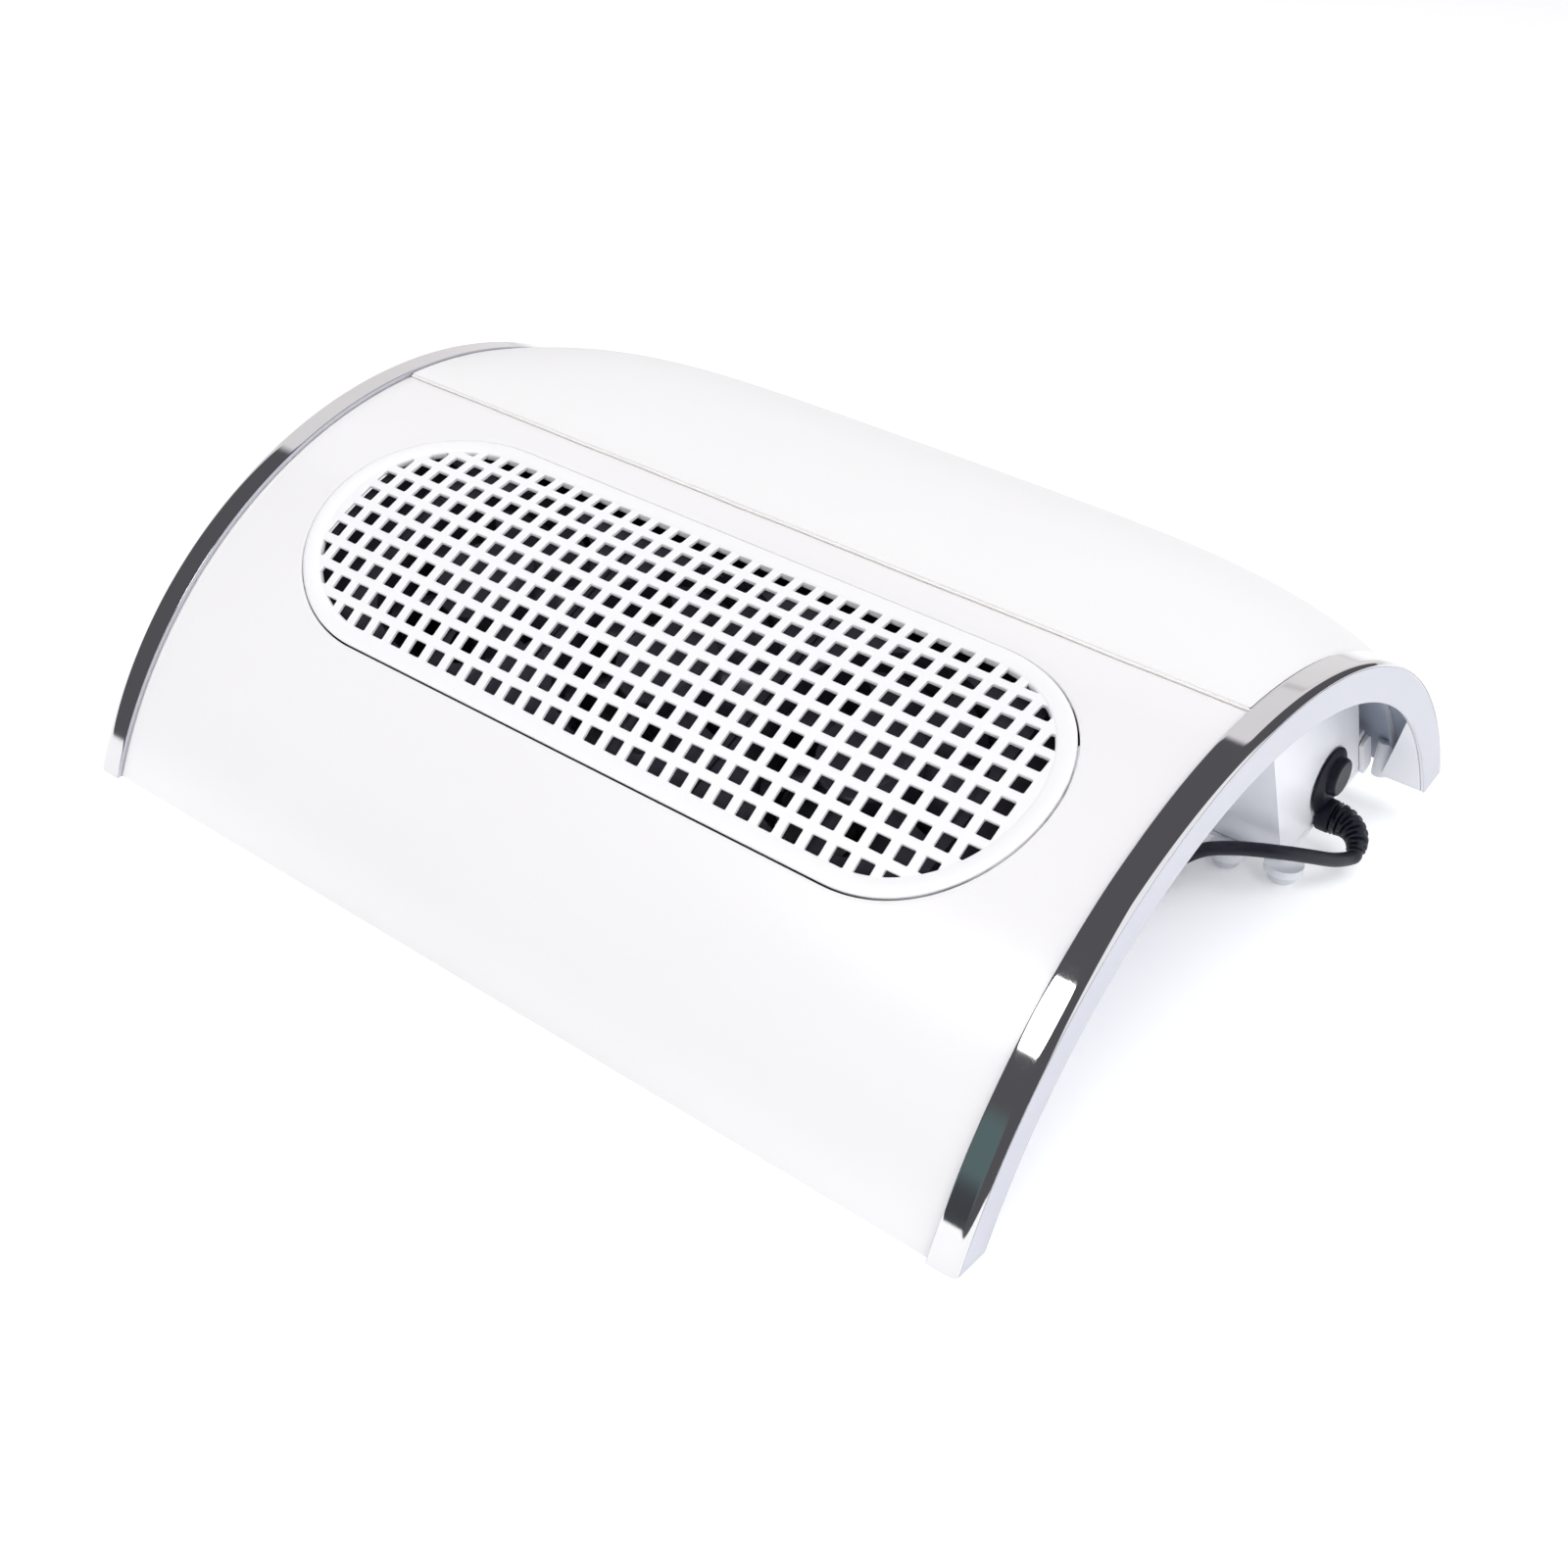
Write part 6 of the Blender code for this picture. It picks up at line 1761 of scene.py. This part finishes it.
    def curve(self) -> tuple[bpy.types.Object, float]:
        """Make the cord as one smooth curve through the route, and measure it.

        Each point's tangent is that of the parabola through it and its neighbours, where the
        square root of each gap is the share of the parameter; the handles lie a third along it.

        Returns:
            The curve and its length in metres.
        """
        line = self.route()
        gap = np.sqrt(np.linalg.norm(np.diff(line, axis=0), axis=1))[:, None]
        slope = np.diff(line, axis=0) / gap
        tangent = np.concatenate(
            [slope[:1], (slope[1:] * gap[:-1] + slope[:-1] * gap[1:]) / (gap[1:] + gap[:-1]),
             slope[-1:]]
        )
        before, after = np.concatenate([gap[:1], gap]), np.concatenate([gap, gap[-1:]])
        left, right = line - tangent * before / 3, line + tangent * after / 3
        data = bpy.data.curves.new("power_cord", "CURVE")
        data.dimensions = "3D"
        data.resolution_u = self.curve_steps
        data.bevel_depth = self.radius
        data.bevel_resolution = 6
        data.use_fill_caps = True
        spline = data.splines.new("BEZIER")
        spline.bezier_points.add(len(line) - 1)
        for point in spline.bezier_points:
            point.handle_left_type = point.handle_right_type = "FREE"
        for name, places in (("co", line), ("handle_left", left), ("handle_right", right)):
            spline.bezier_points.foreach_set(name, places.ravel())
        share = np.linspace(0.0, 1.0, 17)[:, None, None]
        inside = (
            (1 - share) ** 3 * line[:-1] + 3 * share * (1 - share) ** 2 * right[:-1]
            + 3 * share**2 * (1 - share) * left[1:] + share**3 * line[1:]
        )
        length = float(np.linalg.norm(np.diff(inside, axis=0), axis=2).sum())
        return add_object("power_cord", data), length

    def build(self) -> None:
        self.gland()
        self.boot()
        cord, length = self.curve()
        self.workshop.place(
            cord, BLACK_RUBBER, Slot.BLACK_RUBBER, replaces=["cord_run", "cord_coil"]
        )
        tie = self.workshop.soft_copy(
            "cord_tie", "coil_tie", 0.3 * MM, BLACK_RUBBER, Slot.BLACK_RUBBER
        )
        tuple(self.route()[0])
        self.plug_grip()
        self.plug_barrel()

    def plug_frame(self, node: str) -> tuple[Matrix, float, float]:
        """A plug node's frame, with z along the plug, its radius and its length."""
        low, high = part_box(node)
        place = Matrix.Translation(((low.x + high.x) / 2, low.y, (low.z + high.z) / 2))
        along = Matrix.Rotation(math.radians(-90), 4, "X")
        return place @ along, (high.x - low.x) / 2, high.y - low.y

    def plug_grip(self) -> bpy.types.Object:
        """The plug's moulded grip, with shallow finger rings and a tapered neck."""
        place, radius, length = self.plug_frame("plug_body")
        along = np.linspace(0.0, length, 120)
        neck = self.neck
        first, last = self.ring_margins
        body = np.clip((along - neck) / self.shoulder, 0.0, 1.0)
        thin = self.neck_radius + self.neck_growth * along / neck
        wave = np.cos(2 * math.pi * (along - neck) / self.ring_pitch)
        rings = self.ring_depth * (0.5 - 0.5 * wave)
        rings = rings * ((along > neck + first) & (along < length - last))
        reach = np.where(body > 0, thin + (radius - thin) * np.sqrt(body) - rings, thin)
        close = np.clip((length - along) / self.grip_end, 0.0, 1.0)
        reach = reach * (0.85 + 0.15 * np.sqrt(close))
        profile = np.stack([reach, along], -1)
        piece = lathed("plug_grip", profile, place, 40, SOFT_CREASE)
        return self.workshop.place(
            piece, BLACK_PLASTIC, Slot.BLACK_PLASTIC, replaces=["plug_body"]
        )

    def plug_barrel(self) -> bpy.types.Object:
        """The plug's hollow barrel, with an insulating ring near its end."""
        place, radius, length = self.plug_frame("plug_barrel")
        bore, floor, band = self.bore, self.bore_floor, radius - self.band_depth
        profile = rounded_profile(
            [(0, 0), (radius, 0), (radius, length - 1.6 * MM), (band, length - 1.5 * MM),
             (band, length - 1.0 * MM), (radius, length - 0.9 * MM), (radius, length),
             (bore, length), (bore, floor), (0, floor)],
            self.barrel_rounding,
        )
        piece = lathed("plug_metal", profile, place, 40, CREASE)
        return self.workshop.place(piece, STEEL, Slot.STEEL, replaces=["plug_barrel"])


@dataclass(frozen=True)
class Glow:
    """A soft round patch of the surroundings: where it is centred, how wide, and its colour."""

    towards: tuple[float, float, float]
    half_angle: float
    edge: float
    colour: tuple[float, float, float]

    def share(self, graph: Graph, direction: Channel) -> Channel:
        """How much of the patch shows in a direction, by the angle from its centre."""
        inner = math.cos(math.radians(max(self.half_angle - self.edge, 0.0)))
        outer = math.cos(math.radians(self.half_angle + self.edge))
        return graph.step(graph.dot(direction, self.towards), outer, inner)


@dataclass(frozen=True)
class Panel:
    """A flat-edged patch of the surroundings, on the inner side of every one of some planes."""

    planes: tuple[tuple[float, float, float], ...]
    colour: tuple[float, float, float]
    edge: float = 0.02

    def share(self, graph: Graph, direction: Channel) -> Channel:
        """How much of the patch shows in a direction: the product over its planes."""
        shares = [
            graph.step(graph.dot(direction, plane), -self.edge, self.edge) for plane in self.planes
        ]
        product = shares[0]
        for other in shares[1:]:
            product = product * other
        return product


def rear_plane(degrees: float) -> tuple[float, float, float]:
    """The plane through the X axis whose inner side lies below an angle, counted from the rear."""
    angle = math.radians(degrees)
    return (0.0, math.sin(angle), -math.cos(angle))


@dataclass(frozen=True)
class Softbox:
    """A light that faces the unit: where it stands, its width and height, and its watts."""

    name: str
    place: tuple[float, float, float]
    size: tuple[float, float]
    power: float
    shape: str = "RECTANGLE"
    mirrored: bool = False

    def build(self) -> None:
        """Put the light in the scene; glossy surfaces show it only where it is mirrored."""
        data = bpy.data.lights.new(self.name, "AREA")
        data.shape = self.shape
        data.size, data.size_y = self.size
        data.energy = self.power
        lamp = add_object(self.name, data)
        lamp.location = self.place
        aim = LIGHT_AIM - Vector(self.place)
        lamp.rotation_euler = aim.to_track_quat("-Z", "Y").to_euler()
        lamp.visible_glossy = self.mirrored


@dataclass
class Studio:
    """The floor, the lights and the camera."""

    camera_place: tuple[float, float, float] = (279.53 * MM, -377.47 * MM, 302.39 * MM)
    right: tuple[float, float, float] = (0.7822, 0.6200, 0.0611)
    down: tuple[float, float, float] = (0.3754, -0.3907, -0.8405)
    ahead: tuple[float, float, float] = (-0.4972, 0.6804, -0.5384)
    lens: float = 47.67
    shift: tuple[float, float] = (-0.00233, 0.00201)
    floor_half: float = 4.0
    # Painted light on the floor: its emission and the radii over which that emission fades in.
    floor_glow: float = 0.38
    glow_start: float = 0.06
    glow_full: float = 0.20
    dark: tuple[float, float, float] = (0.115, 0.112, 0.122)
    horizon: float = 0.92
    patches: tuple[Glow | Panel, ...] = (
        Panel((rear_plane(52.5), (0.8, 0.0, 0.6), (-1.0, 0.0, -0.3)), (0.93, 0.91, 0.925)),
        Panel((rear_plane(85.0), (-0.8, 0.0, -0.6)), (0.95, 0.93, 0.94)),
        Glow((-0.35, -0.93, 0.22), 11.0, 3.0, (0.13, 0.19, 0.195)),
        Glow((-0.35, -0.945, 0.05), 5.0, 4.0, (0.07, 0.075, 0.085)),
        Panel(((1.0, -0.36, -0.48), (0.5, 1.0, 0.0)), (1.15, 1.16, 1.19), 0.03),
    )
    lights: tuple[Softbox, ...] = (
        Softbox("overhead_softbox", (0.66, -0.10, 1.7), (1.3, 1.5), 19.0),
        Softbox("front_softbox", (0.05, -1.5, 1.0), (1.1, 0.9), 8.5),
        Softbox("highlight_lamp", (-0.29, -0.83, 0.89), (0.34, 0.36), 2.0, "ELLIPSE", True),
    )

    def floor(self) -> None:
        """A wide pale floor whose emission rises away from the unit: painted light that lifts the
        cast shadows around it.
        """
        line = np.linspace(-self.floor_half, self.floor_half, 9)
        level = np.array(-0.05 * MM)
        places = np.stack(np.broadcast_arrays(line[None], line[:, None], level), axis=-1)
        parts = MeshParts()
        parts.grid(places)
        piece = parts.mesh("pale_floor")
        graph = Graph(bpy.data.materials.new("pale_floor"))
        graph.shader.inputs["Base Color"].default_value = (0.94, 0.945, 0.955, 1.0)
        graph.shader.inputs["Roughness"].default_value = 0.8
        # Painted light: emission grows with distance from the origin and washes out the unit's cast
        # shadow on the floor.
        graph.shader.inputs["Emission Strength"].default_value = 1.0
        node = graph.node("ShaderNodeVectorMath", {"operation": "LENGTH"}, {0: graph.place()})
        away = graph.step(Channel(graph, node.outputs["Value"]), self.glow_start, self.glow_full)
        glow = graph.blend(away, (0.0, 0.0, 0.0), (self.floor_glow,) * 3)
        graph.feed(graph.shader.inputs["Emission Color"], glow)
        piece.data.materials.append(graph.owner)

    def camera(self) -> None:
        """Put the camera where the photograph was taken from."""
        data = bpy.data.cameras.new("camera")
        data.lens = self.lens
        data.sensor_width = 36.0
        data.shift_x, data.shift_y = self.shift
        data.clip_start, data.clip_end = 0.01, 30.0
        lens = add_object("camera", data)
        axes = np.stack([self.right, -np.array(self.down), -np.array(self.ahead)], axis=1)
        matrix = Matrix(axes.tolist()).to_4x4()
        matrix.translation = self.camera_place
        lens.matrix_world = matrix
        bpy.context.scene.camera = lens

    def surroundings(self) -> None:
        """A dim studio with pale walls behind and to the right, and a pale band at floor level."""
        graph = Graph(bpy.data.worlds.new("surroundings"))
        place = graph.node("ShaderNodeTexCoord", {}, {})
        direction = Channel(graph, place.outputs["Generated"])
        split = graph.node("ShaderNodeSeparateXYZ", {}, {"Vector": direction})
        high = graph.step(Channel(graph, split.outputs["Z"]), -0.02, 0.01)
        colour = graph.blend(high, (self.horizon,) * 3, self.dark)
        for patch in self.patches:
            colour = graph.blend(patch.share(graph, direction), colour, patch.colour)
        graph.feed(graph.shader.inputs["Color"], colour)
        bpy.context.scene.world = graph.owner

    def build(self) -> None:
        """Set the camera, the floor, the lights and the surroundings."""
        self.camera()
        self.floor()
        for light in self.lights:
            light.build()
        self.surroundings()
        view = bpy.context.scene.view_settings
        view.view_transform = "Standard"
        view.look = "None"


def main() -> None:
    """Build the studio and every piece, in order."""
    logging.basicConfig(level=logging.INFO, format="%(message)s")
    workshop = Workshop()
    Studio().build()
    Cord(workshop).build()
    TopShell(workshop).build()
    SideTrim(workshop, -1, "left_trim").build()
    SideTrim(workshop, 1, "right_trim").build()
    Grille(workshop).build()
    HandRest(workshop).build()
    for name, x in (("left", -FAN_PITCH), ("middle", 0.0), ("right", FAN_PITCH)):
        Fan(workshop, name, x).build()
    Housing(workshop).build()
    Outlet(workshop).build()
    Switch(workshop).build()
    workshop.dress("supply_lead", BLACK_RUBBER)


if __name__ == "__main__":
    main()
